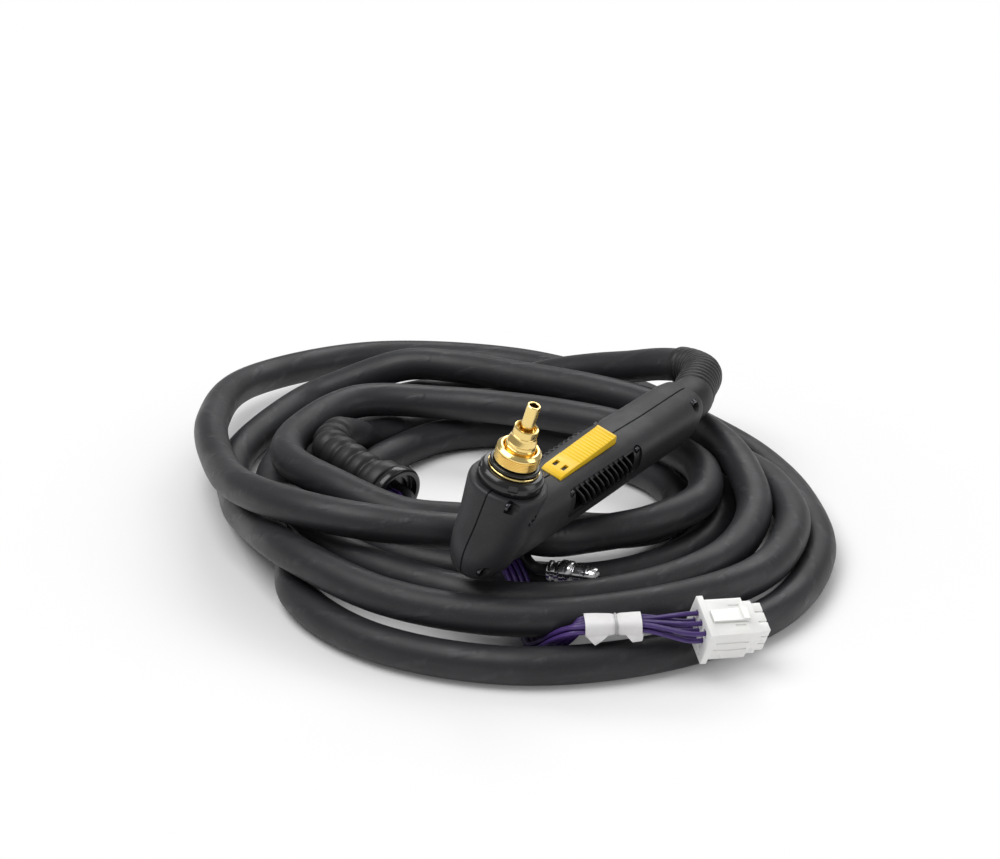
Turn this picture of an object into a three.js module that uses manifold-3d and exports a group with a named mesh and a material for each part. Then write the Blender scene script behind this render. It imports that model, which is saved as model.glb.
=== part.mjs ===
// Hand-held cutting torch on its coiled lead, with the machine-end gland, gas fitting and signal plug.
// Millimetres, +Z up. The torch lies along +X from its head, and the middle of its box is the origin.
// Pieces of the torch are drawn with the head centre as zero, X along the handle and Z along the tip.
// Pieces on the lead are drawn with the coil's centre on the floor as zero, and then turned into place.
import * as THREE from 'three';
import Module from 'manifold-3d';

const wasm = await Module();
wasm.setup();

// ---------------------------------------------------------------- driving dimensions
const GAP = 0.3;                 // clearance between pieces that touch
const ROUND = 24;                // sides of a turned piece
const ROLL_DEG = 18.4;           // roll of the torch where it lies on the coil
const LAY_DEG = 57.6;            // bearing of the handle across the coil
const HEAD_ON_COIL = [-12, -142, 60];

// brass stack on the head, heights along the tip axis
const SEAT_Z = 31.5;
const COLLAR_HEIGHT = 7;
const COLLAR_RADIUS = 16.3;
const COLLAR_TOP_RADIUS = 14.6;
const COLLAR_NOTCH = 5;
const INSULATOR_RADIUS = 10.8;
const INSULATOR_FOOT_Z = 2;
const SEAL_THICK = 1.9;
const SEAL_RADIUS = 12.6;
const WASHER_THICK = 1.1;
const WASHER_RADIUS = 12.9;
const RING_RADIUS = 11.1;
const RING_HEIGHT = 8.2;
const RING_CHAMFER = 1.6;
const RING_THREADS = 3;
const RING_THREAD_DEPTH = 0.7;
const SLEEVE_FLARE_RADIUS = 7.8;
const SLEEVE_RADIUS = 6;
const SLEEVE_TOP_Z = 62.5;
const SLEEVE_GROOVES = 3;
const SLEEVE_GROOVE_DEPTH = 0.6;
const TUBE_RADIUS = 3.25;
const TUBE_BORE = 2.25;
const TUBE_TOP_Z = 75;

// handle shell
const SHELL_SIDES = 24;
const SHELL_SQUARENESS = 2.7;
const WALL = 2.6;
const SEAM_GAP = 0.15;
const HANDLE_END_X = 190;
const HANDLE_HALF_WIDTH = 16.4;
const HANDLE_TOP_Z = 14.4;
const HANDLE_FOOT_Z = -17.6;
const REAR_DROP = 3;
const HEEL_Z = -22;

// trigger and the switch under it
const TRIGGER_FRONT_X = 47;
const TRIGGER_LENGTH = 54;
const TRIGGER_WIDTH = 11.8;
const TRIGGER_THICK = 7;
const TRIGGER_PROUD = 1.8;
const TRIGGER_SLOPE_DEG = 4;
const TRIGGER_RIBS = 13;
const TRIGGER_RIB_DEPTH = 0.8;
const TRIGGER_NOSE = 3;
const WINDOW_LENGTH = 5;
const WINDOW_WIDTH = 2.2;
const PIN_RADIUS = 1.25;
const PIN_CLEARANCE = 0.05;
const PIN_SET_BACK = 5;
const PIN_END_Y = 8.6;
const SWITCH_X = 84;
const SWITCH_LENGTH = 20;
const SWITCH_WIDTH = 9;
const SWITCH_HEIGHT = 11;
const PLUNGER_RADIUS = 1.8;
const PLUNGER_LENGTH = 8;
const PLUNGER_TRAVEL = 2.6;

// vent grids in the shoulders
const VENT_FRONT_X = 46.3;
const VENT_LENGTH = 71;
const VENT_FOOT_Z = -3;
const VENT_HEIGHT = 14.4;
const VENT_RIBS = 10;
const VENT_THICK = 3.4;
const VENT_DEPTH = 5.5;
const VENT_SLANT = 1;
const VENT_LAND = 6.5;
const VENT_OPEN_SHARE = 0.6;
const VENT_BORDER = 1.8;

// case screws and the feed inside the handle
const SCREW_HEAD_RADIUS = 2.3;
const SCREW_HEAD_THICK = 1.6;
const SCREW_SHANK_RADIUS = 1.3;
const SCREW_SOCKET_RADIUS = 1.1;
const VENT_SCREW_RADIUS = 1.6;
const FEED_RADIUS = 3.5;
const PILOT_RADIUS = 1.5;

// lead, its two ribbed boots and the gland
const LEAD_RADIUS = 9.4;
const LEAD_SIDES = 8;
const LEAD_STEPS_PER_STOP = 1.5;
const BOOT_BASE_RADIUS = 12.2;
const BOOT_TIP_RADIUS = 10.8;
const BOOT_RIBS = 12;
const BOOT_RIB_DEPTH = 0.8;
const BOOT_SIDES = 12;
const BOOT_INSIDE = 6;
const BOOT_STRAIGHT = 10;
const GLAND_TIP_RADIUS = 10.4;
const GLAND_BASE_RADIUS = 11.8;
const GLAND_RIBS = 6;
const GLAND_COLLAR_LENGTH = 9;
const GLAND_COLLAR_RADIUS = 14.4;
const GLAND_NECK_RADIUS = 11.8;
const GLAND_NECK_LENGTH = 2;
const GLAND_FLANGE_RADIUS = 16.6;
const GLAND_FLANGE_LENGTH = 5.5;
const GLAND_CUP_RADIUS = 13.2;
const GLAND_CUP_DEPTH = 6;
const HOSE_IN_CUP = 6;
const WIRES_IN_CUP = -3.5;

// gas tail
const HOSE_RADIUS = 3;
const FITTING_LENGTH = 26;
const FERRULE_RADIUS = 5.4;
const NUT_RADIUS = 6.6;
const NOSE_RADIUS = 5;
const NOSE_BORE = 2;

// signal wires, tag and plug
const WIRE_RADIUS = 1.2;
const WIRE_PITCH = 2.9;
const TAG_LENGTH = 27;
const TAG_THICK = 0.7;
const TIE_WIDTH = 1.2;
const TIE_THICK = 0.7;
const PLUG_LENGTH = 28;
const PLUG_WIDTH = 22;
const PLUG_HEIGHT = 18;
const PLUG_RIM = 1.4;
const PLUG_RIM_LENGTH = 4;
const PLUG_PITCH = 6;
const PLUG_CAVITY = 1.9;
const PLUG_CAVITY_DEPTH = 6;
const PLUG_SLEEVE_RADIUS = 2.6;
const PLUG_SLEEVE_LENGTH = 5;

// ---------------------------------------------------------------- shape helpers
const rad = THREE.MathUtils.degToRad;
const lerp = THREE.MathUtils.lerp;
const at = (x, y, z) => new THREE.Vector3(x, y, z);
const RUBBER = [0x1c1c1d, 0.85, 0];
const SHELL = [0x212122, 0.62, 0];
const BLACK = [0x161617, 0.4, 0];
const YELLOW = [0xf2b705, 0.5, 0];
const BRASS = [0xc9962e, 0.28, 1];
const CHROME = [0xc6c9cc, 0.15, 1];
const STEEL = [0x4a4b4d, 0.35, 1];
const PURPLE = [0x4a2f8f, 0.55, 0];
const WHITE = [0xf0efec, 0.6, 0];
const NYLON = [0xeeece6, 0.4, 0];

// One closed surface: shared corners welded, empty triangles dropped, faces turned outwards.
function closed(geometry) {
  const source = geometry.index ? geometry.toNonIndexed() : geometry;
  const position = source.attributes.position;
  const corners = new Map();
  const points = [];
  const ids = [];
  for (let i = 0; i < position.count; i += 1) {
    const p = [position.getX(i), position.getY(i), position.getZ(i)];
    const key = p.map((value) => Math.round(value * 1e4)).join();
    if (!corners.has(key)) {
      corners.set(key, points.length / 3);
      points.push(...p);
    }
    ids.push(corners.get(key));
  }
  const faces = [];
  let volume = 0;
  for (let i = 0; i < ids.length; i += 3) {
    const [a, b, c] = ids.slice(i, i + 3);
    if (a !== b && b !== c && c !== a) {
      faces.push(a, b, c);
      const corner = (k) => at(points[3 * k], points[3 * k + 1], points[3 * k + 2]);
      volume += corner(a).dot(corner(b).cross(corner(c)));
    }
  }
  if (volume < 0) {
    faces.reverse();
  }
  return surface(points, faces);
}

function surface(points, faces) {
  const geometry = new THREE.BufferGeometry();
  geometry.setAttribute('position', new THREE.Float32BufferAttribute(points, 3));
  geometry.setIndex(faces);
  geometry.computeVertexNormals();
  return geometry;
}

function toSolid(geometry) {
  const shape = closed(geometry);
  return new wasm.Manifold(new wasm.Mesh({
    numProp: 3,
    vertProperties: new Float32Array(shape.attributes.position.array),
    triVerts: new Uint32Array(shape.index.array),
  }));
}

function fromSolid(solid) {
  const mesh = solid.getMesh();
  return surface(Array.from(mesh.vertProperties), Array.from(mesh.triVerts));
}

const subtract = (base, ...tools) =>
  fromSolid(tools.reduce((left, tool) => left.subtract(toSolid(tool)), toSolid(base)));
const unite = (...pieces) =>
  fromSolid(pieces.slice(1).reduce((sum, piece) => sum.add(toSolid(piece)), toSolid(pieces[0])));
const intersect = (a, b) => fromSolid(toSolid(a).intersect(toSolid(b)));

function box(x, y, z) {
  const size = [x, y, z].map(([low, high]) => high - low);
  const middle = [x, y, z].map(([low, high]) => (low + high) / 2);
  return new THREE.BoxGeometry(...size).translate(...middle);
}

// A turned piece on +Z from [radius, height] corners.
function turned(profile, sides = ROUND) {
  const corners = profile.map(([radius, height]) => new THREE.Vector2(radius, height));
  return closed(new THREE.LatheGeometry(corners, sides).rotateX(Math.PI / 2));
}

// A ring or a plain disc on +Z.
function ring(outer, inner, foot, top, sides = ROUND) {
  if (inner === 0) {
    return turned([[0, foot], [outer, foot], [outer, top], [0, top]], sides);
  }
  return turned([[inner, foot], [outer, foot], [outer, top], [inner, top], [inner, foot]], sides);
}

// Moves a shape drawn on +Z from zero so that it starts at a point and runs along a direction.
function aimed(geometry, start, direction) {
  const turn = new THREE.Quaternion().setFromUnitVectors(at(0, 0, 1), direction.clone().normalize());
  return geometry.clone().applyQuaternion(turn).translate(start.x, start.y, start.z);
}

function rod(radius, start, end, sides = ROUND) {
  const along = end.clone().sub(start);
  return aimed(ring(radius, 0, 0, along.length(), sides), start, along);
}

// A skin through rings of points, each ring counter-clockwise seen against the way of travel.
function loft(rings) {
  const sides = rings[0].length;
  const points = rings.flat().flatMap((p) => [p.x, p.y, p.z]);
  const faces = [];
  for (let i = 0; i + 1 < rings.length; i += 1) {
    for (let j = 0; j < sides; j += 1) {
      const a = i * sides + j;
      const b = i * sides + (j + 1) % sides;
      faces.push(a, b, b + sides, a, b + sides, a + sides);
    }
  }
  [rings[0], rings.at(-1)].forEach((cap, end) => {
    const middle = cap.reduce((sum, p) => sum.add(p), at(0, 0, 0)).divideScalar(sides);
    const centre = points.length / 3;
    points.push(middle.x, middle.y, middle.z);
    const first = end * (rings.length - 1) * sides;
    for (let j = 0; j < sides; j += 1) {
      const a = first + j;
      const b = first + (j + 1) % sides;
      faces.push(centre, ...(end ? [a, b] : [b, a]));
    }
  });
  return surface(points, faces);
}

const power = (value, exponent) => Math.sign(value) * Math.abs(value) ** exponent;

// A rounded-square section: half sizes to each side of a middle, as [u, v] pairs.
function section(left, right, low, high, squareness, sides = SHELL_SIDES) {
  return Array.from({ length: sides }, (_, i) => {
    const angle = 2 * Math.PI * i / sides;
    const u = power(Math.cos(angle), 2 / squareness);
    const v = power(Math.sin(angle), 2 / squareness);
    return [u * (u > 0 ? right : left), v * (v > 0 ? high : low)];
  });
}

// A curve whose steps fall evenly between its chosen points, and a stretch of such a curve.
class Route extends THREE.CatmullRomCurve3 {
  constructor(points) {
    super(points.map((p) => (p.isVector3 ? p : at(...p))), false, 'catmullrom', 0.5);
  }

  getUtoTmapping(u) {
    return u;
  }
}

// An even stretch has steps of equal length instead.
class Stretch extends THREE.Curve {
  constructor(route, from, to, even = false) {
    super();
    Object.assign(this, { route, from, to, even });
  }

  getPoint(t) {
    return this.route.getPoint(lerp(this.from, this.to, t));
  }

  getTangent(t) {
    return this.route.getTangent(lerp(this.from, this.to, t));
  }

  getUtoTmapping(u, distance) {
    return this.even ? super.getUtoTmapping(u, distance) : u;
  }
}

function tube(curve, radius, sides, steps) {
  const outline = Array.from({ length: sides }, (_, i) => {
    const angle = 2 * Math.PI * i / sides;
    return new THREE.Vector2(radius * Math.cos(angle), radius * Math.sin(angle));
  });
  const shape = new THREE.Shape(outline);
  return closed(new THREE.ExtrudeGeometry(shape, { steps, extrudePath: curve }));
}

// A ribbed sleeve along a curve: each rib is a crest and a groove of two rings each.
function ribbed(curve, ribs, startRadius, endRadius, depth) {
  const steps = 4 * ribs;
  const frames = curve.computeFrenetFrames(steps, false);
  const rings = Array.from({ length: steps + 1 }, (_, i) => {
    const groove = i % 4 >= 2 ? depth : 0;
    const radius = lerp(startRadius, endRadius, i / steps) - groove;
    const middle = curve.getPointAt(i / steps);
    return Array.from({ length: BOOT_SIDES }, (_unused, j) => {
      const angle = 2 * Math.PI * j / BOOT_SIDES;
      return middle.clone()
        .addScaledVector(frames.normals[i], radius * Math.cos(angle))
        .addScaledVector(frames.binormals[i], radius * Math.sin(angle));
    });
  });
  return closed(loft(rings));
}

function piece(name, geometry, [color, roughness, metalness]) {
  const material = new THREE.MeshStandardMaterial({ color, roughness, metalness });
  const mesh = new THREE.Mesh(closed(geometry), material);
  mesh.name = name;
  return mesh;
}

// ---------------------------------------------------------------- handle shell
const VENT_REAR_X = VENT_FRONT_X + VENT_LENGTH;
const TRIGGER_REAR_X = TRIGGER_FRONT_X + TRIGGER_LENGTH;

// Handle sections: [x, change of half width, change of top, change of foot].
function handleBody(inset) {
  const rear = HANDLE_END_X - inset;
  const stations = [
    [-6, -4, -4, 4],
    [12, -0.6, 1.2, -1.6],
    [32, 0, 0.8, -0.6],
    [TRIGGER_FRONT_X, 0, 0, 0],
    [TRIGGER_REAR_X, 0, 0.6, 0],
    [rear - 50, -0.8, -0.3 * REAR_DROP, -0.3 * REAR_DROP],
    [rear - 12, -1.4, 0.6 - 0.5 * REAR_DROP, -0.7 * REAR_DROP],
    [rear - 3, -2.4, -0.4 - 0.5 * REAR_DROP, 1 - 0.7 * REAR_DROP],
    [rear, -4, -1.6 - 0.5 * REAR_DROP, 3 - 0.7 * REAR_DROP],
  ];
  return loft(stations.map(([x, wide, top, foot]) => {
    const half = HANDLE_HALF_WIDTH + wide - inset;
    const high = HANDLE_TOP_Z + top - inset;
    const low = -(HANDLE_FOOT_Z + foot) - inset;
    return section(half, half, low, high, SHELL_SQUARENESS).map(([y, z]) => at(x, y, z));
  }));
}

// Head sections: [height, reach to the front, reach to the rear, half width].
function headBody(inset) {
  const stations = [
    [HEEL_Z + inset, 7, 3, 5],
    [HEEL_Z + 1.4 + inset, 13.5, 8, 9],
    [HEEL_Z + 5, 19, 11.5, 12],
    [HEEL_Z + 11, 22.6, 14, 14.4],
    [-1, 24.2, 16, 16],
    [12, 21.6, 18, 17.2],
    [24, 20.2, 19.4, 18.8],
    [30, 19.6, 19.6, 19.4],
    [SEAT_Z - inset, 18.6, 18.6, 18.6],
  ];
  return loft(stations.map(([z, front, rear, half]) => {
    const outline = section(front - inset, rear - inset, half - inset, half - inset, 2.2);
    return outline.map(([x, y]) => at(x, y, z));
  }));
}

// Screws across the seam: [name, x, z, depth of the head below the widest point].
const CASE_SCREWS = [
  ['case_screw_front', -15.8, 28.5, 8.5],
  ['case_screw_heel', -17.4, -10.8, 10.8],
  ['case_screw_rear', HANDLE_END_X - BOOT_INSIDE - 4.6, 10.5, 9.6],
];
const CASE_SCREW_END_Y = 8;
const BOSS_RADIUS = 3.6;
const SIDE_SCREW = { x: 1.5, z: 17, seatY: -15.9, length: 2.4 };
const VENT_SCREW_XS = [VENT_FRONT_X + 3.2, VENT_REAR_X - 3.2];
const VENT_SCREW_Z = VENT_FOOT_Z + VENT_HEIGHT - 2.1;
const VENT_SCREW_SEAT_Y = HANDLE_HALF_WIDTH - 4.2;
const VENT_SCREW_LENGTH = 3;

const screwSeatY = (sunk) => -(HANDLE_HALF_WIDTH + 2 - sunk);

function trigger() {
  const front = TRIGGER_FRONT_X;
  const foot = HANDLE_TOP_Z + TRIGGER_PROUD - TRIGGER_THICK;
  return { foot, pin: at(front + PIN_SET_BACK, 0, foot + 2.6) };
}

function onPin(y) {
  return trigger().pin.setY(y);
}

// The counterbore and the hole of a screw that comes in from the right side.
function screwHole(x, z, seatY, endY) {
  const outside = at(x, -HANDLE_HALF_WIDTH - 14, z);
  return [
    rod(SCREW_HEAD_RADIUS + GAP, outside, at(x, seatY, z), 16),
    rod(SCREW_SHANK_RADIUS + GAP, outside, at(x, endY, z), 12),
  ];
}

function switchPlace() {
  const top = trigger().foot - GAP - PLUNGER_TRAVEL - 1;
  return { top, foot: top - SWITCH_HEIGHT, plungerTop: trigger().foot - GAP };
}

function ventWindow(side, margin) {
  const outer = HANDLE_HALF_WIDTH + 3;
  const inner = HANDLE_HALF_WIDTH - VENT_DEPTH;
  const y = side < 0 ? [-outer, -inner] : [inner, outer];
  return box(
    [VENT_FRONT_X - margin, VENT_REAR_X + margin],
    y,
    [VENT_FOOT_Z - margin, VENT_FOOT_Z + VENT_HEIGHT + margin],
  );
}

function shellHalf(name, side) {
  const hollow = unite(handleBody(WALL), headBody(WALL));
  const place = switchPlace();
  const wallY = HANDLE_HALF_WIDTH - WALL + 0.6;
  const cradleY = SWITCH_WIDTH / 2 + GAP;
  const inside = [
    box([SWITCH_X - 7, SWITCH_X + 7], [cradleY, wallY], [place.foot, place.foot + 7]),
    box([SWITCH_X - 7, SWITCH_X + 7], [-wallY, -cradleY], [place.foot, place.foot + 7]),
  ];
  for (const [, x, z] of CASE_SCREWS) {
    inside.push(rod(BOSS_RADIUS, at(x, -HANDLE_HALF_WIDTH, z), at(x, HANDLE_HALF_WIDTH, z), 16));
  }
  for (const sideY of [-1, 1]) {
    const reach = [VENT_SCREW_SEAT_Y - VENT_SCREW_LENGTH - 1, HANDLE_HALF_WIDTH];
    const y = sideY < 0 ? [-reach[1], -reach[0]] : reach;
    inside.push(box([VENT_FRONT_X - 4, VENT_FRONT_X + 7], y, [VENT_SCREW_Z - 3, VENT_SCREW_Z + 3]));
    inside.push(box([VENT_REAR_X - 7, VENT_REAR_X + 4], y, [VENT_SCREW_Z - 3, VENT_SCREW_Z + 3]));
  }
  const outside = unite(handleBody(0), headBody(0));
  const filling = intersect(outside, unite(...inside));
  const slotY = TRIGGER_WIDTH / 2 + GAP;
  const behindVents = handleBody(VENT_THICK + GAP);
  const cuts = [
    subtract(ventWindow(-1, GAP), behindVents),
    subtract(ventWindow(1, GAP), behindVents),
    box([TRIGGER_FRONT_X - GAP, TRIGGER_REAR_X + GAP], [-slotY, slotY], [switchPlace().top, 40]),
    ring(INSULATOR_RADIUS + GAP, 0, INSULATOR_FOOT_Z - GAP, SEAT_Z + 5),
    rod(BOOT_BASE_RADIUS + GAP, at(HANDLE_END_X - BOOT_INSIDE - GAP, 0, 0), at(HANDLE_END_X + 5, 0, 0)),
    rod(PIN_RADIUS + GAP, onPin(-PIN_END_Y - GAP), onPin(PIN_END_Y + GAP), 12),
    ...screwHole(SIDE_SCREW.x, SIDE_SCREW.z, SIDE_SCREW.seatY, 0),
  ];
  for (const [, x, z, sunk] of CASE_SCREWS) {
    cuts.push(...screwHole(x, z, screwSeatY(sunk), CASE_SCREW_END_Y + GAP));
  }
  for (const sideY of [-1, 1]) {
    for (const x of VENT_SCREW_XS) {
      const start = at(x, sideY * 30, VENT_SCREW_Z);
      const end = at(x, sideY * (VENT_SCREW_SEAT_Y - VENT_SCREW_LENGTH - GAP), VENT_SCREW_Z);
      cuts.push(rod(SCREW_SHANK_RADIUS + GAP, start, end, 12));
    }
  }
  const shell = subtract(unite(subtract(outside, hollow), filling), ...cuts);
  const y = side < 0 ? [-60, -SEAM_GAP] : [SEAM_GAP, 60];
  return piece(name, intersect(shell, box([-60, HANDLE_END_X + 60], y, [-60, 60])), SHELL);
}

// ---------------------------------------------------------------- brass head
const COLLAR_Z = SEAT_Z + GAP;
const WASHER_Z = COLLAR_Z + COLLAR_HEIGHT + GAP;
const SEAL_Z = WASHER_Z + WASHER_THICK + GAP;
const RING_Z = SEAL_Z + SEAL_THICK + GAP;
const RING_TOP_Z = RING_Z + RING_HEIGHT;
const STACK_BORE = INSULATOR_RADIUS + GAP;

function headCollar() {
  const top = COLLAR_Z + COLLAR_HEIGHT;
  const body = turned([
    [STACK_BORE, COLLAR_Z], [COLLAR_RADIUS, COLLAR_Z], [COLLAR_RADIUS, top - 2.4],
    [COLLAR_TOP_RADIUS, top], [STACK_BORE, top], [STACK_BORE, COLLAR_Z],
  ]);
  const notch = box([-COLLAR_NOTCH / 2, COLLAR_NOTCH / 2], [-1, 1], [top - 4, top + 1]);
  const notches = [0, 1, 2, 3].map((k) => notch.clone()
    .translate(0, COLLAR_RADIUS, 0)
    .rotateZ(rad(90 * k + 35)));
  return subtract(body, ...notches);
}

function headRing() {
  const bore = SLEEVE_FLARE_RADIUS + GAP;
  const foot = RING_Z;
  const threaded = RING_HEIGHT - RING_CHAMFER - 1.2;
  const profile = [[bore, foot], [RING_RADIUS - 0.4, foot]];
  for (let k = 0; k < RING_THREADS; k += 1) {
    const z = foot + 0.6 + threaded * k / RING_THREADS;
    const pitch = threaded / RING_THREADS;
    profile.push([RING_RADIUS, z], [RING_RADIUS, z + pitch / 2]);
    profile.push([RING_RADIUS - RING_THREAD_DEPTH, z + pitch * 0.75]);
  }
  profile.push([RING_RADIUS, RING_TOP_Z - RING_CHAMFER - 0.4]);
  profile.push([RING_RADIUS - RING_CHAMFER, RING_TOP_Z], [bore, RING_TOP_Z], [bore, foot]);
  return turned(profile);
}

function sleeve() {
  const bore = TUBE_RADIUS + GAP;
  const profile = [[bore, RING_Z], [SLEEVE_FLARE_RADIUS, RING_Z], [SLEEVE_FLARE_RADIUS, RING_TOP_Z - 1.5]];
  profile.push([SLEEVE_RADIUS + 1.1, RING_TOP_Z + 1.6]);
  const pitch = (SLEEVE_TOP_Z - RING_TOP_Z - 5) / SLEEVE_GROOVES;
  for (let k = 0; k < SLEEVE_GROOVES; k += 1) {
    const z = RING_TOP_Z + 2.4 + pitch * k;
    const radius = SLEEVE_RADIUS + 0.8 * (1 - k / SLEEVE_GROOVES);
    profile.push([radius, z], [radius, z + pitch * 0.55]);
    profile.push([radius - SLEEVE_GROOVE_DEPTH, z + pitch * 0.7]);
  }
  profile.push([SLEEVE_RADIUS, SLEEVE_TOP_Z - 2.4], [SLEEVE_RADIUS, SLEEVE_TOP_Z - 0.5]);
  profile.push([SLEEVE_RADIUS - 0.5, SLEEVE_TOP_Z], [SLEEVE_RADIUS - 1.2, SLEEVE_TOP_Z]);
  profile.push([SLEEVE_RADIUS - 1.2, SLEEVE_TOP_Z - 2.2], [bore, SLEEVE_TOP_Z - 2.2], [bore, RING_Z]);
  return turned(profile);
}

function headPieces() {
  const insulatorTop = RING_Z - GAP;
  return [
    piece('head_insulator', ring(INSULATOR_RADIUS, 0, INSULATOR_FOOT_Z, insulatorTop), BLACK),
    piece('head_collar', headCollar(), BLACK),
    piece('head_seal', ring(SEAL_RADIUS, STACK_BORE, SEAL_Z, SEAL_Z + SEAL_THICK), RUBBER),
    piece('head_washer', ring(WASHER_RADIUS, STACK_BORE, WASHER_Z, WASHER_Z + WASHER_THICK), BRASS),
    piece('head_ring', headRing(), BRASS),
    piece('electrode_sleeve', sleeve(), BRASS),
    piece('gas_tube', ring(TUBE_RADIUS, TUBE_BORE, RING_Z, TUBE_TOP_Z, 24), BRASS),
  ];
}

// ---------------------------------------------------------------- trigger, switch, screws, feed
function triggerLever() {
  const { foot } = trigger();
  const top = foot + TRIGGER_THICK;
  const rise = TRIGGER_LENGTH * Math.tan(rad(TRIGGER_SLOPE_DEG));
  const outline = [[TRIGGER_FRONT_X, foot], [TRIGGER_FRONT_X, top - 2.2]];
  outline.push([TRIGGER_FRONT_X + TRIGGER_NOSE, top]);
  const ribStart = TRIGGER_FRONT_X + TRIGGER_LENGTH * 0.3;
  const pitch = (TRIGGER_REAR_X - 3 - ribStart) / TRIGGER_RIBS;
  for (let k = 0; k < TRIGGER_RIBS; k += 1) {
    const x = ribStart + pitch * k;
    const z = top + rise * (x - TRIGGER_FRONT_X) / TRIGGER_LENGTH;
    outline.push([x, z], [x + pitch * 0.5, z - TRIGGER_RIB_DEPTH]);
  }
  outline.push([TRIGGER_REAR_X - 1.6, top + rise], [TRIGGER_REAR_X, top - 1], [TRIGGER_REAR_X, foot]);
  const shape = new THREE.Shape(outline.map(([x, z]) => new THREE.Vector2(x, z)));
  const lever = new THREE.ExtrudeGeometry(shape, { depth: TRIGGER_WIDTH, bevelEnabled: false })
    .rotateX(Math.PI / 2)
    .translate(0, TRIGGER_WIDTH / 2, 0);
  const windows = [-1, 1].map((side) => {
    const middle = side * TRIGGER_WIDTH * 0.22;
    const x = TRIGGER_FRONT_X + TRIGGER_NOSE + 2.4;
    const across = [middle - WINDOW_WIDTH / 2, middle + WINDOW_WIDTH / 2];
    return box([x, x + WINDOW_LENGTH], across, [top - 1.4, top + 2]);
  });
  const reach = TRIGGER_WIDTH;
  const bore = rod(PIN_RADIUS + PIN_CLEARANCE, onPin(-reach), onPin(reach));
  return subtract(lever, bore, ...windows);
}

function switchPieces() {
  const { top, foot, plungerTop } = switchPlace();
  const halfLength = SWITCH_LENGTH / 2;
  const halfWidth = SWITCH_WIDTH / 2;
  const body = box([SWITCH_X - halfLength, SWITCH_X + halfLength], [-halfWidth, halfWidth], [foot, top]);
  const plungerFoot = plungerTop - PLUNGER_LENGTH;
  const bore = rod(
    PLUNGER_RADIUS + PIN_CLEARANCE,
    at(SWITCH_X, 0, plungerFoot - PLUNGER_TRAVEL - GAP),
    at(SWITCH_X, 0, top + 1),
    24,
  );
  const plunger = rod(PLUNGER_RADIUS, at(SWITCH_X, 0, plungerFoot), at(SWITCH_X, 0, plungerTop), 24);
  return [
    piece('switch_body', subtract(body, bore), BLACK),
    piece('switch_plunger', plunger, YELLOW),
  ];
}

// A socket-head screw on +Z from the underside of its head, shank downwards.
function screw(headRadius, headThick, shankLength) {
  const body = turned([
    [0, -shankLength], [SCREW_SHANK_RADIUS, -shankLength], [SCREW_SHANK_RADIUS, 0],
    [headRadius, 0], [headRadius, headThick], [0, headThick],
  ], 16);
  return subtract(body, ring(SCREW_SOCKET_RADIUS, 0, headThick - 1, headThick + 1, 6));
}

function screwPieces() {
  const pieces = CASE_SCREWS.map(([name, x, z, sunk]) => {
    const seat = at(x, screwSeatY(sunk) - GAP / 2, z);
    const length = CASE_SCREW_END_Y - seat.y;
    return piece(name, aimed(screw(SCREW_HEAD_RADIUS, SCREW_HEAD_THICK, length), seat, at(0, -1, 0)), STEEL);
  });
  const side = at(SIDE_SCREW.x, SIDE_SCREW.seatY - GAP / 2, SIDE_SCREW.z);
  const sideShape = screw(SCREW_HEAD_RADIUS, SCREW_HEAD_THICK, SIDE_SCREW.length);
  pieces.push(piece('side_screw', aimed(sideShape, side, at(0, -1, 0)), STEEL));
  for (const [sideName, sideY] of [['right', -1], ['left', 1]]) {
    VENT_SCREW_XS.forEach((x, k) => {
      const seat = at(x, sideY * (VENT_SCREW_SEAT_Y + GAP / 2), VENT_SCREW_Z);
      const shape = screw(VENT_SCREW_RADIUS, SCREW_HEAD_THICK, VENT_SCREW_LENGTH);
      const name = `vent_screw_${sideName}_${k ? 'rear' : 'front'}`;
      pieces.push(piece(name, aimed(shape, seat, at(0, sideY, 0)), STEEL));
    });
  }
  return pieces;
}

function ventInsert(name, side) {
  const window = ventWindow(side, 0);
  const skin = intersect(handleBody(0), window);
  const high = VENT_HEIGHT - 2 * VENT_BORDER;
  const pitch = (VENT_LENGTH - VENT_LAND - VENT_BORDER - VENT_SLANT * high) / VENT_RIBS;
  const slant = new THREE.Matrix4().makeShear(0, 0, 0, 0, -VENT_SLANT, 0);
  const top = VENT_FOOT_Z + VENT_HEIGHT - VENT_BORDER;
  const slots = Array.from({ length: VENT_RIBS }, (_, k) => {
    const slot = box([0, pitch * VENT_OPEN_SHARE], [-60, 60], [-high, 0]).applyMatrix4(slant);
    return slot.translate(VENT_FRONT_X + VENT_LAND + pitch * (k + 0.4), 0, top);
  });
  const holes = VENT_SCREW_XS.flatMap((x) => {
    const wide = at(x, side * 60, VENT_SCREW_Z);
    const seat = at(x, side * VENT_SCREW_SEAT_Y, VENT_SCREW_Z);
    const inner = at(x, side * 2, VENT_SCREW_Z);
    return [rod(VENT_SCREW_RADIUS + GAP, wide, seat, 16), rod(SCREW_SHANK_RADIUS + GAP, wide, inner, 12)];
  });
  return piece(name, subtract(skin, handleBody(VENT_THICK), ...slots, ...holes), BLACK);
}

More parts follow.
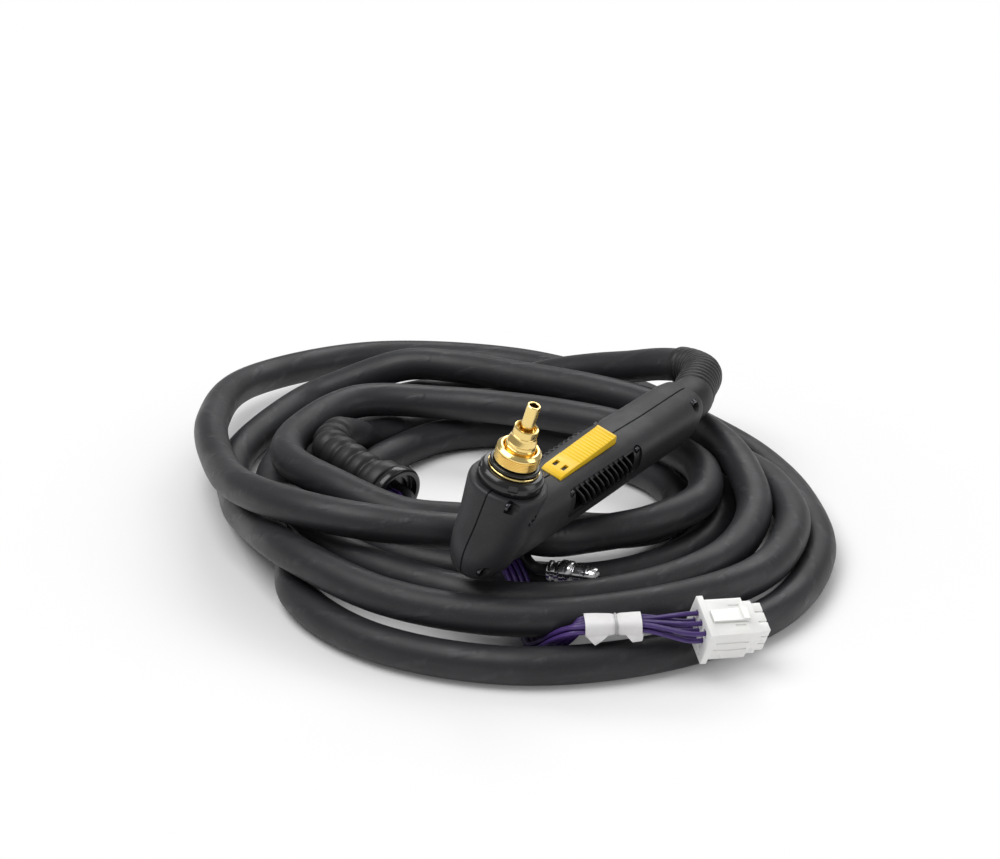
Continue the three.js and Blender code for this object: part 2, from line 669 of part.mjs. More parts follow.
function feedPieces() {
  const end = HANDLE_END_X - BOOT_INSIDE - 2 * GAP;
  const foot = INSULATOR_FOOT_Z - GAP;
  const feedZ = switchPlace().foot - FEED_RADIUS - 2 * GAP;
  const feed = new Route([
    [0, 0, foot], [0, 0, foot - 4], [6, 0, feedZ - 1], [16, 0, feedZ], [60, 0, feedZ],
    [110, 0, feedZ], [140, 0, feedZ + 3], [165, 0, -2], [end, 0, 0],
  ]);
  const pilot = new Route([
    [3, 8, foot], [3, 8, foot - 3], [10, 8.5, -6], [24, 8.6, -8], [70, 8.6, -9.5],
    [110, 8.6, -8], [140, 8.4, -5], [165, 7.8, -3], [end, 7, -3],
  ]);
  const { foot: switchFoot } = switchPlace();
  const x = SWITCH_X + SWITCH_LENGTH / 2 + GAP;
  const leads = [-1, 1].map((side) => new Route([
    [x, side * 2.5, switchFoot + 3], [x + 8, side * 3.5, switchFoot + 3], [130, side * 7.4, 2],
    [150, side * 8, 3.4], [168, side * 7.4, 3.8], [end, side * 6, 4],
  ]));
  return [
    piece('feed_tube', tube(feed, FEED_RADIUS, 10, 20), BRASS),
    piece('pilot_wire', tube(pilot, PILOT_RADIUS, 8, 16), BLACK),
    piece('switch_wire_right', tube(leads[0], WIRE_RADIUS, 8, 15), PURPLE),
    piece('switch_wire_left', tube(leads[1], WIRE_RADIUS, 8, 15), PURPLE),
  ];
}

// ---------------------------------------------------------------- lead
// The handle's boot, from the handle end to the start of the lead, measured from the coil centre.
const BOOT_POINTS = [
  [99, 44, 59.5], [104, 66, 57.5], [102, 84, 54], [95, 98, 51],
];
const RUN_POINTS = [[83, 114, 45.5], [67, 129, 38], [48, 142, 31.5], [25, 153, 24]];

// One turn of the lead per row, each stop as [bearing, distance from the coil's centre, height].
const TURNS = [
  [[90, 161, 15], [101, 163, 10], [112.5, 162, 10], [135, 158, 10], [157.5, 142, 10], [180, 131, 15],
    [202.5, 124, 30], [225, 129, 27], [247.5, 136, 26], [270, 147, 25], [292.5, 148, 25],
    [315, 145, 26], [337.5, 134, 28], [360, 121, 32], [382.5, 116, 32]],
  [[45, 117, 31], [67.5, 119, 31], [90, 134, 30], [101, 150, 30], [112.5, 165, 30], [124, 177, 20],
    [135, 182, 12], [157.5, 168, 10], [180, 150, 12], [202.5, 146, 23], [225, 154, 31],
    [247.5, 162, 28], [270, 167, 26], [292.5, 168, 26], [315, 168, 25], [337.5, 155, 24],
    [360, 138, 21], [382.5, 128, 15]],
  [[45, 127, 10], [67.5, 132, 10], [90, 140, 10], [112.5, 141, 10], [135, 136, 10], [157.5, 120, 10],
    [180, 109.5, 10], [202.5, 121, 10], [225, 155, 10], [247.5, 176, 10], [270, 186, 10],
    [292.5, 186, 10], [315, 182, 10], [337.5, 169, 10], [360, 154, 10], [382.5, 148, 10]],
  [[45, 151, 10], [67.5, 174, 10], [90, 206, 10], [112.5, 228, 12], [135, 220, 18], [157.5, 183, 29],
    [180, 158, 33], [202.5, 150, 44], [225, 138, 49], [247.5, 117, 45], [270, 96, 36.4],
    [281, 92.5, 31.8], [292.5, 90, 30], [315, 97, 30], [337.5, 104, 30], [360, 100, 30], [382.5, 88, 30]],
  [[45, 82, 30], [67.5, 79, 30], [90, 84, 30], [112.5, 101, 30], [135, 125, 33], [157.5, 128, 32],
    [180, 121, 36], [202.5, 101, 37], [225, 84, 31], [247.5, 65.5, 27.5], [270, 58, 23],
    [292.5, 60, 21], [315, 71, 17], [337.5, 82, 12], [360, 88, 10], [382.5, 85, 10]],
  [[45, 81, 10], [67.5, 86, 10], [90, 99, 10], [112.5, 101, 10], [135, 95, 10], [157.5, 93, 10],
    [180, 89.5, 10], [202.5, 90, 10], [225, 88, 10], [247.5, 86, 10], [270, 91, 10],
    [292.5, 102, 10], [315, 107, 10], [337.5, 110, 10], [360, 112, 10], [382.5, 108, 10]],
  [[45, 104, 10], [67.5, 109, 10], [90, 119, 10], [112.5, 122, 10], [135, 115, 14], [146, 108, 24],
    [157.5, 104, 33]],
];
const GLAND_POINTS = [[-99.5, 19, 34.5], [-89.5, 3, 33], [-73.8, -13.2, 28.3]];

function polar([bearing, distance, height]) {
  return at(distance * Math.cos(rad(bearing)), distance * Math.sin(rad(bearing)), height);
}

// From the coil's own drawing place to the torch's.
function onTorch(geometry) {
  const head = at(...HEAD_ON_COIL);
  return geometry.clone().translate(-head.x, -head.y, -head.z).rotateZ(rad(-LAY_DEG));
}

function handleAxisOnCoil(x) {
  return at(x, 0, 0).applyAxisAngle(at(0, 0, 1), rad(LAY_DEG)).add(at(...HEAD_ON_COIL));
}

function leadRoute() {
  const start = [-BOOT_INSIDE, 0, BOOT_STRAIGHT].map((x) => handleAxisOnCoil(HANDLE_END_X + x));
  const coil = TURNS.flatMap((turn) => turn.map(polar));
  const points = [...start, ...BOOT_POINTS, ...RUN_POINTS, ...coil, ...GLAND_POINTS];
  const route = new Route(points);
  const spans = points.length - 1;
  const bootEnd = start.length + BOOT_POINTS.length - 1;
  const glandStart = spans - GLAND_POINTS.length;
  return { route, spans, bootEnd, glandStart };
}

// The share of a span that a small length takes, next to one of the route's points.
function share(route, spans, index, length) {
  const near = route.getPoint(index / spans).distanceTo(route.getPoint((index + 0.1) / spans));
  return 0.1 * length / near;
}

function leadPieces() {
  const { route, spans, bootEnd, glandStart } = leadRoute();
  const stretch = (from, to, even) => new Stretch(route, from / spans, to / spans, even);
  const afterBoot = bootEnd + share(route, spans, bootEnd, GAP);
  const beforeGland = glandStart - share(route, spans, glandStart, GAP);
  const bootRoute = stretch(0, bootEnd, true);
  const boot = ribbed(bootRoute, BOOT_RIBS, BOOT_BASE_RADIUS, BOOT_TIP_RADIUS, BOOT_RIB_DEPTH);
  const steps = Math.round(LEAD_STEPS_PER_STOP * (glandStart - bootEnd));
  const lead = tube(stretch(afterBoot, beforeGland), LEAD_RADIUS, LEAD_SIDES, steps);
  const glandRoute = stretch(glandStart, spans, true);
  const gland = ribbed(glandRoute, GLAND_RIBS, GLAND_TIP_RADIUS, GLAND_BASE_RADIUS, BOOT_RIB_DEPTH);
  return [
    piece('lead_boot', onTorch(boot), RUBBER),
    piece('torch_lead', onTorch(lead), RUBBER),
    piece('gland_boot', onTorch(gland), RUBBER),
  ];
}

// ---------------------------------------------------------------- gland
// The gland's place: where it starts, the way its cup faces, and its own level and upright directions.
function glandFrame() {
  const { route } = leadRoute();
  const along = route.getTangent(1);
  const level = at(0, 0, 1).cross(along).normalize();
  const upright = along.clone().cross(level);
  const start = route.getPoint(1).addScaledVector(along, GAP);
  const place = (u, v, w) => start.clone()
    .addScaledVector(level, u).addScaledVector(upright, v).addScaledVector(along, w);
  return { start, along, place };
}

const GLAND_LENGTH = GLAND_COLLAR_LENGTH + GAP + GLAND_NECK_LENGTH + GLAND_FLANGE_LENGTH;
const GLAND_CUP_FLOOR = GLAND_LENGTH - GLAND_CUP_DEPTH;

function glandPieces() {
  const { start, along } = glandFrame();
  const collar = turned([
    [0, 0], [GLAND_BASE_RADIUS - 1, 0], [GLAND_COLLAR_RADIUS, 1.5],
    [GLAND_COLLAR_RADIUS, GLAND_COLLAR_LENGTH - 1], [GLAND_COLLAR_RADIUS - 0.8, GLAND_COLLAR_LENGTH],
    [0, GLAND_COLLAR_LENGTH],
  ]);
  const neckFoot = GLAND_COLLAR_LENGTH + GAP;
  const flangeFoot = neckFoot + GLAND_NECK_LENGTH;
  const top = flangeFoot + GLAND_FLANGE_LENGTH;
  const flange = turned([
    [0, neckFoot], [GLAND_NECK_RADIUS, neckFoot], [GLAND_NECK_RADIUS, flangeFoot],
    [GLAND_FLANGE_RADIUS, flangeFoot], [GLAND_FLANGE_RADIUS, top - 1], [GLAND_FLANGE_RADIUS - 0.6, top],
    [GLAND_CUP_RADIUS, top], [GLAND_CUP_RADIUS, flangeFoot + 1.5],
    [GLAND_NECK_RADIUS - 1.5, flangeFoot + 1.5], [GLAND_NECK_RADIUS - 1.5, GLAND_CUP_FLOOR],
    [0, GLAND_CUP_FLOOR],
  ]);
  return [
    piece('gland_collar', onTorch(aimed(collar, start, along)), RUBBER),
    piece('gland_flange', onTorch(aimed(flange, start, along)), BLACK),
  ];
}

// ---------------------------------------------------------------- gas tail
const HOSE_POINTS = [
  [-52.5, -35.5, 22], [-41.5, -44.5, 13], [-28, -53, 9], [-14, -62, 10.5], [-5, -72, 15.5],
  [0.5, -82, 21.5], [4, -92, 22.8], [7, -100.5, 22.4], [10.5, -105.8, 22.4], [16, -107.8, 22.4],
];
const FERRULE_LENGTH = 6;
const NUT_LENGTH = 7;
const BARREL_LENGTH = 6;

function gasPieces() {
  const { place } = glandFrame();
  const hoseStart = [place(HOSE_IN_CUP, 0, GLAND_CUP_FLOOR + GAP), place(HOSE_IN_CUP, 0, GLAND_CUP_FLOOR + 8)];
  const route = new Route([...hoseStart, ...HOSE_POINTS]);
  const start = at(...HOSE_POINTS.at(-1));
  const along = route.getTangent(1);
  const lay = (geometry) => onTorch(aimed(geometry, start, along));
  const ferruleFoot = GAP;
  const nutFoot = ferruleFoot + FERRULE_LENGTH + GAP;
  const barrelFoot = nutFoot + NUT_LENGTH + GAP;
  const noseFoot = barrelFoot + BARREL_LENGTH + GAP;
  const top = noseFoot + FITTING_LENGTH - FERRULE_LENGTH - NUT_LENGTH - BARREL_LENGTH - 4 * GAP;
  const ferrule = turned([
    [0, ferruleFoot], [FERRULE_RADIUS - 0.6, ferruleFoot], [FERRULE_RADIUS, ferruleFoot + 0.8],
    [FERRULE_RADIUS, ferruleFoot + 2], [FERRULE_RADIUS - 0.8, ferruleFoot + 2.6],
    [FERRULE_RADIUS - 0.8, ferruleFoot + 3.8], [FERRULE_RADIUS, ferruleFoot + 4.4],
    [FERRULE_RADIUS, ferruleFoot + FERRULE_LENGTH - 0.5], [0, ferruleFoot + FERRULE_LENGTH],
  ]);
  const spindle = NOSE_RADIUS - 1.2;
  const core = turned([
    [0, ferruleFoot + FERRULE_LENGTH + GAP], [spindle, nutFoot], [spindle, barrelFoot],
    [NOSE_RADIUS, barrelFoot], [NOSE_RADIUS, noseFoot - 2], [NOSE_RADIUS - 0.9, noseFoot - 1.4],
    [NOSE_RADIUS - 0.9, noseFoot - 0.4], [NOSE_RADIUS, noseFoot], [NOSE_RADIUS, top - 0.6],
    [NOSE_RADIUS - 0.6, top], [NOSE_BORE, top], [NOSE_BORE, nutFoot + 2], [0, nutFoot + 2],
  ]);
  const nut = turned([
    [spindle + PIN_CLEARANCE, nutFoot], [NUT_RADIUS - 0.6, nutFoot], [NUT_RADIUS, nutFoot + 0.6],
    [NUT_RADIUS, nutFoot + NUT_LENGTH - 0.6], [NUT_RADIUS - 0.6, nutFoot + NUT_LENGTH],
    [spindle + PIN_CLEARANCE, nutFoot + NUT_LENGTH], [spindle + PIN_CLEARANCE, nutFoot],
  ]);
  return [
    piece('gas_hose', onTorch(tube(route, HOSE_RADIUS, 10, 2 * (HOSE_POINTS.length + 1))), RUBBER),
    piece('fitting_ferrule', lay(ferrule), CHROME),
    piece('fitting_nut', lay(nut), CHROME),
    piece('fitting_nose', lay(core), CHROME),
  ];
}

// ---------------------------------------------------------------- signal wires, tag and plug
// The wires lie two deep and four wide. Stops of the bundle's middle: [x, y, z] and its upper side.
const TAG_START = [32, -180, 28.6];
const TAG_END = [32 + TAG_LENGTH, -178.8, 29];
const PLUG_BACK = [86, -180, 26];
const PLUG_AXIS = [0.94, 0.32, -0.1];
const PLUG_UP = [0.13, -0.4, 0.91];
const BUNDLE_STOPS = [
  [[-60, -40.5, 21], [0, 0.5, 1]],
  [[-49.5, -51.5, 12], [0, 0.3, 1]],
  [[-35, -60.5, 7], [0, 0, 1]],
  [[-25.5, -65.8, 9.8], [0.2, 0.5, 0.85]],
  [[-19.3, -73.4, 18.2], [0.2, 0.7, 0.7]],
  [[-12, -84, 22.5], [0, 0, 1]],
  [[-6, -93, 22.8], [0, -0.3, 1]],
  [[0, -104.5, 18], [0, -0.7, 0.7]],
  [[4, -117, 10], [0, -0.5, 0.85]],
  [[6, -132, 6.2], [0, 0, 1]],
  [[8, -147, 5.2], [0, 0, 1]],
  [[10, -160.5, 7], [0, 0.4, 0.9]],
  [[15, -169.5, 12.4], [-0.02, 0.77, 0.63]],
  [[20, -175, 18.5], [-0.05, 0.77, 0.63]],
  [[26, -179.4, 25.2], [-0.05, 0.4, 0.85]],
  [TAG_START, [0, 0, 1]],
  [TAG_END, [0, 0, 1]],
];
const PLUG_SEATS = [[-1, 1], [0, 1], [1, 1], [1, 0], [-1, 0], [0, 0], [0, -1], [1, -1]];

function plugFrame() {
  const along = at(...PLUG_AXIS).normalize();
  const across = at(...PLUG_UP).cross(along).normalize();
  const up = along.clone().cross(across);
  const back = at(...PLUG_BACK);
  const place = (u, v, w) => back.clone()
    .addScaledVector(across, u).addScaledVector(up, v).addScaledVector(along, w);
  return { along, across, up, place };
}

// The bundle's own frame at each stop: middle, across and upper directions.
function bundleFrames() {
  const middles = BUNDLE_STOPS.map(([p]) => at(...p));
  const route = new Route(middles);
  return BUNDLE_STOPS.map(([, upper], k) => {
    const along = route.getTangent(k / (BUNDLE_STOPS.length - 1));
    const across = at(...upper).cross(along).normalize();
    return { middle: middles[k], along, across, up: along.clone().cross(across) };
  });
}

function wirePieces() {
  const { place: onGland } = glandFrame();
  const { place: onPlug } = plugFrame();
  return PLUG_SEATS.map(([column, row], k) => {
    const u = (k % 4 - 1.5) * WIRE_PITCH;
    const v = (k < 4 ? 0.5 : -0.5) * WIRE_PITCH;
    const points = [0.3, 7].map((depth) => onGland(u + WIRES_IN_CUP, v, GLAND_CUP_FLOOR + depth));
    for (const { middle, across, up } of bundleFrames()) {
      points.push(middle.clone().addScaledVector(across, u).addScaledVector(up, v));
    }
    for (const before of [7, -PLUG_CAVITY_DEPTH + 2]) {
      points.push(onPlug(column * PLUG_PITCH, row * PLUG_PITCH * 0.85, -before));
    }
    const route = new Route(points);
    const steps = points.length - 1;
    return piece(`signal_wire_${k + 1}`, onTorch(tube(route, WIRE_RADIUS, 8, steps)), PURPLE);
  });
}

// A shape drawn with X across, Y up and Z along, set into a frame.
function framed(geometry, { across, up, along }, origin) {
  const matrix = new THREE.Matrix4().makeBasis(across, up, along).setPosition(origin);
  return geometry.clone().applyMatrix4(matrix);
}

function tagPieces() {
  const frames = bundleFrames();
  const { middle, across, up } = frames.at(-2);
  const along = frames.at(-1).middle.clone().sub(middle).normalize();
  const frame = { across: up.clone().cross(along).normalize(), up, along };
  frame.up = along.clone().cross(frame.across);
  const halfWide = WIRE_PITCH * 1.5 + WIRE_RADIUS + 2 * GAP;
  const halfHigh = WIRE_PITCH * 0.5 + WIRE_RADIUS + 2 * GAP;
  const sleeveAt = (grow, foot, top) => loft([foot, top].map((z) =>
    section(halfWide + grow, halfWide + grow, halfHigh + grow, halfHigh + grow, 6, 20)
      .map(([x, y]) => at(x, y, z))));
  const wrap = sleeveAt(TAG_THICK, 0, TAG_LENGTH);
  const flapY = -halfHigh - TAG_THICK;
  const flaps = [[0, 8], [TAG_LENGTH - 9, TAG_LENGTH]].map(([from, to]) =>
    box([-halfWide - 0.4, -halfWide + 0.5], [flapY - 4, 0], [from, to]));
  const tag = subtract(unite(wrap, ...flaps), sleeveAt(0, -1, TAG_LENGTH + 1));
  const tieFoot = TAG_LENGTH * 0.52;
  const tie = subtract(
    sleeveAt(TAG_THICK + GAP + TIE_THICK, tieFoot, tieFoot + TIE_WIDTH),
    sleeveAt(TAG_THICK + GAP, tieFoot - 1, tieFoot + TIE_WIDTH + 1),
  );
  return [
    piece('label_tag', onTorch(framed(tag, frame, middle)), WHITE),
    piece('label_tie', onTorch(framed(tie, frame, middle)), WHITE),
  ];
}

function plugPieces() {
  const frame = plugFrame();
  const origin = frame.place(0, 0, 0);
  const halfWide = PLUG_WIDTH / 2;
  const halfHigh = PLUG_HEIGHT / 2;
  const seats = [-1, 0, 1].flatMap((column) => [-1, 0, 1].map((row) =>
    [column * PLUG_PITCH, row * PLUG_PITCH * 0.85]));
  const body = box([-halfWide, halfWide], [-halfHigh, halfHigh], [0, PLUG_LENGTH]);
  const rimWide = halfWide + PLUG_RIM;
  const rimHigh = halfHigh + PLUG_RIM;
  const rim = box([-rimWide, rimWide], [-rimHigh, rimHigh], [0, PLUG_RIM_LENGTH]);
  const sleeves = seats.map(([x, y]) =>
    ring(PLUG_SLEEVE_RADIUS, 0, PLUG_LENGTH - 1, PLUG_LENGTH + PLUG_SLEEVE_LENGTH, 8).translate(x, y, 0));
  const cavities = seats.flatMap(([x, y]) => [
    ring(PLUG_CAVITY, 0, -1, PLUG_CAVITY_DEPTH, 8).translate(x, y, 0),
    ring(WIRE_RADIUS, 0, PLUG_LENGTH, PLUG_LENGTH + PLUG_SLEEVE_LENGTH + 1, 8).translate(x, y, 0),
  ]);
  const housing = subtract(unite(body, rim, ...sleeves), ...cavities);
  const latch = box([-3.5, 3.5], [halfHigh + GAP, halfHigh + 1.6], [PLUG_RIM_LENGTH + GAP, PLUG_LENGTH - 4]);
  return [
    piece('plug_housing', onTorch(framed(housing, frame, origin)), NYLON),
    piece('plug_latch', onTorch(framed(latch, frame, origin)), NYLON),
  ];
}

// ---------------------------------------------------------------- assembly
const torch = new THREE.Group();
torch.name = 'torch';
torch.add(shellHalf('shell_right', -1), shellHalf('shell_left', 1));
torch.add(...headPieces(), piece('trigger_lever', triggerLever(), YELLOW));
torch.add(piece('trigger_pin', rod(PIN_RADIUS, onPin(-PIN_END_Y), onPin(PIN_END_Y)), STEEL));
torch.add(...switchPieces(), ventInsert('vent_right', -1), ventInsert('vent_left', 1));
torch.add(...screwPieces(), ...feedPieces());
torch.rotation.x = rad(ROLL_DEG);

const coil = new THREE.Group();
coil.name = 'lead_set';
coil.add(...leadPieces(), ...glandPieces(), ...gasPieces(), ...wirePieces(), ...tagPieces(), ...plugPieces());

const group = new THREE.Group();
group.name = 'cutting_torch';
group.add(torch, coil);
group.updateMatrixWorld(true);
const middle = new THREE.Box3().setFromObject(torch, true).getCenter(at(0, 0, 0));
torch.position.sub(middle);
coil.position.sub(middle);
group.updateMatrixWorld(true);

export default group;
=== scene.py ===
"""Visual model of a hand-held cutting torch on its coiled lead.

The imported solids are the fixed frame. Each sub-assembly below is a class whose fields are its sizes in
millimetres, and whose methods model its pieces and give them their finishes. Pieces of the torch are drawn
with the head's centre as zero, X along the handle and Z along the tip. Pieces on the lead are drawn with the
coil's centre on the floor as zero. Both are then moved to the frame, which is in metres.
"""

from __future__ import annotations

import logging
import math
from contextlib import contextmanager
from dataclasses import dataclass, field
from enum import Enum
from typing import Callable, Iterator, Sequence

import bmesh
import bpy
import numpy as np
from mathutils import Matrix, Vector


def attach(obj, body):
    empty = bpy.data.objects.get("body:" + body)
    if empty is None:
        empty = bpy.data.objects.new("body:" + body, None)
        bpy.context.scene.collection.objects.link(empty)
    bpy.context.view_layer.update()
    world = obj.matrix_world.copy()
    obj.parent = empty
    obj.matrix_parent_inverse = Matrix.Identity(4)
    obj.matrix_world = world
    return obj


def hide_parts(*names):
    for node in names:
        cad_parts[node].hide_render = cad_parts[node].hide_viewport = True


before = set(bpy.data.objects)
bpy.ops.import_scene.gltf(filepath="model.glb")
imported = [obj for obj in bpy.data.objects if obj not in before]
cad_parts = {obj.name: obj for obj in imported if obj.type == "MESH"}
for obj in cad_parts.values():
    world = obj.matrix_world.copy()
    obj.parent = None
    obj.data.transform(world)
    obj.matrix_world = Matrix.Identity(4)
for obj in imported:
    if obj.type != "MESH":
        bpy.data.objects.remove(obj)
LOG = logging.getLogger("cutting_torch")

Point = tuple[float, float, float]
Pair = tuple[float, float]
Steps = tuple[Pair, ...]

MM = 0.001
# The torch rolls on its axis, and its axis is laid at an angle over the coil.
ROLL_DEG = 18.4
LAY_DEG = 57.6
HEAD_ON_COIL = Vector((-12.0, -142.0, 60.0))
# The rolled torch's middle, which is the frame's origin.
MIDDLE = Vector((82.91202545, -5.22550492, 24.8690214))
# The play between neighbouring pieces, and a reach that is past every skin that is cut through.
GAP = 0.3
BEYOND = 60.0

TORCH = Matrix.Scale(MM, 4) @ Matrix.Translation(-MIDDLE) @ Matrix.Rotation(math.radians(ROLL_DEG), 4, "X")
COIL = (
    Matrix.Scale(MM, 4)
    @ Matrix.Translation(-MIDDLE)
    @ Matrix.Rotation(math.radians(-LAY_DEG), 4, "Z")
    @ Matrix.Translation(-HEAD_ON_COIL)
)


class Body(Enum):
    """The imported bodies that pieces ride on."""

    TORCH = "torch_body"
    TRIGGER = "trigger"
    NUT = "gas_nut"


class Slot(Enum):
    """The record's material slots."""

    SHELL = "shell_plastic"
    BLACK = "black_plastic"
    YELLOW = "yellow_plastic"
    BRASS = "brass"
    SHEATH = "sheath_rubber"
    BOOT = "boot_rubber"
    CHROME = "chrome"
    STEEL = "screw_steel"
    PURPLE = "purple_sleeving"
    TAPE = "white_tape"
    NYLON = "natural_nylon"


class Cut(Enum):
    """What a boolean modifier does with its second shape."""

    REMOVE = "DIFFERENCE"
    ADD = "UNION"
    KEEP = "INTERSECT"


# ---------------------------------------------------------------- shader node groups
DUST_TONE = (0.32, 0.32, 0.33, 1)
# What a pattern's marks do to the surface: colour times and plus, its share, and the roughness taken off.
# On sheaths and wires the lighter colour also paints highlight lines along the twist's crests.
MARK_AND_HIGHLIGHT_LIGHTER = (1.35, 0.004)
MARK_AND_HIGHLIGHT_SHARE = 0.55
MARK_SMOOTHER = 0.06


class NodeSheet:
    """A node tree with short calls for adding and joining nodes."""

    def __init__(self, tree: bpy.types.NodeTree) -> None:
        """Keeps the tree to work on."""
        self.tree = tree

    def add(self, kind: str, inputs: dict | None = None, **settings: object) -> bpy.types.Node:
        """Adds a node.

        Args:
            kind: The node's type name without its common start.
            inputs: Values or sockets by input name or index.
            settings: Properties of the node.

        Returns:
            The new node.
        """
        node = self.tree.nodes.new("ShaderNode" + kind)
        for name, value in settings.items():
            setattr(node, name, value)
        for name, value in (inputs or {}).items():
            self.feed(node.inputs[name], value)
        return node

    def feed(self, socket: bpy.types.NodeSocket, value: object) -> None:
        """Joins a socket to another one, or sets its value."""
        if isinstance(value, bpy.types.NodeSocket):
            self.tree.links.new(value, socket)
        else:
            socket.default_value = value

    def ramp(
        self, value: bpy.types.NodeSocket, low: float, high: float, to: Pair = (0.0, 1.0),
    ) -> bpy.types.NodeSocket:
        """Stretches a value's range smoothly.

        Args:
            value: The socket to stretch.
            low: The value that gives the first end.
            high: The value that gives the second end.
            to: The two ends.

        Returns:
            The stretched value's socket.
        """
        ends = {0: value, 1: low, 2: high, 3: to[0], 4: to[1]}
        return self.add("MapRange", ends, interpolation_type="SMOOTHSTEP").outputs[0]

    def math(self, operation: str, *values: object) -> bpy.types.NodeSocket:
        """Works out one step of arithmetic.

        Args:
            operation: The Math node's operation.
            values: Its numbers or sockets, in the node's order.

        Returns:
            The result's socket.
        """
        return self.add("Math", dict(enumerate(values)), operation=operation).outputs[0]

    def blended(
        self, share: bpy.types.NodeSocket, first: object, second: object,
    ) -> bpy.types.NodeSocket:
        """Mixes two colours.

        Args:
            share: The socket that gives the second colour's share.
            first: The first colour or its socket.
            second: The second colour or its socket.

        Returns:
            The mixed colour's socket.
        """
        return self.add("Mix", {0: share, 6: first, 7: second}, data_type="RGBA").outputs[2]


@dataclass(frozen=True)
class Channel:
    """A named input or output of a node group."""

    name: str
    kind: str
    default: object = None


def node_group(
    name: str, inputs: Sequence[Channel], outputs: Sequence[Channel], fill: Callable,
) -> bpy.types.NodeTree:
    """Makes a shader node group once, and finds it again afterwards.

    Args:
        name: The group's name.
        inputs: Its inputs.
        outputs: Its outputs.
        fill: A function of the sheet, the input node and the output node that makes the inside.

    Returns:
        The node group.
    """
    found = bpy.data.node_groups.get(name)
    if found:
        return found
    tree = bpy.data.node_groups.new(name, "ShaderNodeTree")
    for way, channels in (("INPUT", inputs), ("OUTPUT", outputs)):
        for channel in channels:
            kind = "NodeSocket" + channel.kind
            socket = tree.interface.new_socket(channel.name, in_out=way, socket_type=kind)
            if channel.default is not None:
                socket.default_value = channel.default
    fill(NodeSheet(tree), tree.nodes.new("NodeGroupInput"), tree.nodes.new("NodeGroupOutput"))
    return tree


def grain_group() -> bpy.types.NodeTree:
    """A moulded grain: fine pits over a slow swell, as a height.

    Returns:
        The node group.
    """

    def fill(sheet: NodeSheet, start: bpy.types.Node, end: bpy.types.Node) -> None:
        """Joins a cell texture and two noises."""
        vector, scale = start.outputs["Vector"], start.outputs["Scale"]
        cells = sheet.add("TexVoronoi", {"Vector": vector, "Scale": scale}, feature="SMOOTH_F1")
        fine = sheet.add("TexNoise", {"Vector": vector, "Scale": scale, "Detail": 4.0, "Roughness": 0.6})
        coarse = sheet.add("TexNoise", {"Vector": vector, "Scale": 90.0, "Detail": 2.0})
        both = sheet.math("ADD", cells.outputs["Distance"], fine.outputs["Fac"])
        swell = sheet.math("MULTIPLY_ADD", coarse.outputs["Fac"], 1.5, both)
        sheet.feed(end.inputs["Height"], swell)

    return node_group(
        "Moulded grain",
        [Channel("Vector", "Vector"), Channel("Scale", "Float", 900.0)],
        [Channel("Height", "Float")],
        fill,
    )


def drift_group() -> bpy.types.NodeTree:
    """A slow change between two tones, with fine dust specks over it, and a mask for roughness.

    Returns:
        The node group.
    """

    def fill(sheet: NodeSheet, start: bpy.types.Node, end: bpy.types.Node) -> None:
        """Joins a slow noise and a speck noise to two colour mixes."""
        vector = start.outputs["Vector"]
        wide = {"Vector": vector, "Scale": start.outputs["Scale"], "Detail": 5.0, "Roughness": 0.62}
        slow = sheet.add("TexNoise", wide)
        mask = sheet.ramp(slow.outputs["Fac"], 0.36, 0.68)
        tones = sheet.blended(mask, start.outputs["Tone A"], start.outputs["Tone B"])
        speck = sheet.add("TexNoise", {"Vector": vector, "Scale": 1400.0, "Detail": 1.0})
        dust = sheet.ramp(speck.outputs["Fac"], 0.66, 0.76)
        amount = sheet.math("MULTIPLY", dust, start.outputs["Dust"])
        sheet.feed(end.inputs["Color"], sheet.blended(amount, tones, DUST_TONE))
        sheet.feed(end.inputs["Mask"], mask)

    return node_group(
        "Tone drift",
        [
            Channel("Vector", "Vector"),
            Channel("Scale", "Float", 30.0),
            Channel("Tone A", "Color"),
            Channel("Tone B", "Color"),
            Channel("Dust", "Float", 0.0),
        ],
        [Channel("Color", "Color"), Channel("Mask", "Float")],
        fill,
    )


def turned_group() -> bpy.types.NodeTree:
    """Lathe marks round the Z axis of the vector: fine rings, as a height and as a mask.

    Returns:
        The node group.
    """

    def fill(sheet: NodeSheet, start: bpy.types.Node, end: bpy.types.Node) -> None:
        """Turns distance from the axis plus height into rings."""
        parts = sheet.add("SeparateXYZ", {0: start.outputs["Vector"]})
        flat = sheet.add("CombineXYZ", {0: parts.outputs[0], 1: parts.outputs[1]})
        reach = sheet.add("VectorMath", {0: flat.outputs[0]}, operation="LENGTH")
        along = sheet.math("ADD", reach.outputs["Value"], parts.outputs[2])
        pitch = sheet.math("MULTIPLY", along, start.outputs["Scale"])
        fine = {"W": pitch, "Scale": 1.0, "Detail": 3.0}
        rings = sheet.add("TexNoise", fine, noise_dimensions="1D")
        sheet.feed(end.inputs["Height"], rings.outputs["Fac"])
        sheet.feed(end.inputs["Mask"], sheet.ramp(rings.outputs["Fac"], 0.35, 0.65))

    return node_group(
        "Lathe marks",
        [Channel("Vector", "Vector"), Channel("Scale", "Float", 9000.0)],
        [Channel("Height", "Float"), Channel("Mask", "Float")],
        fill,
    )


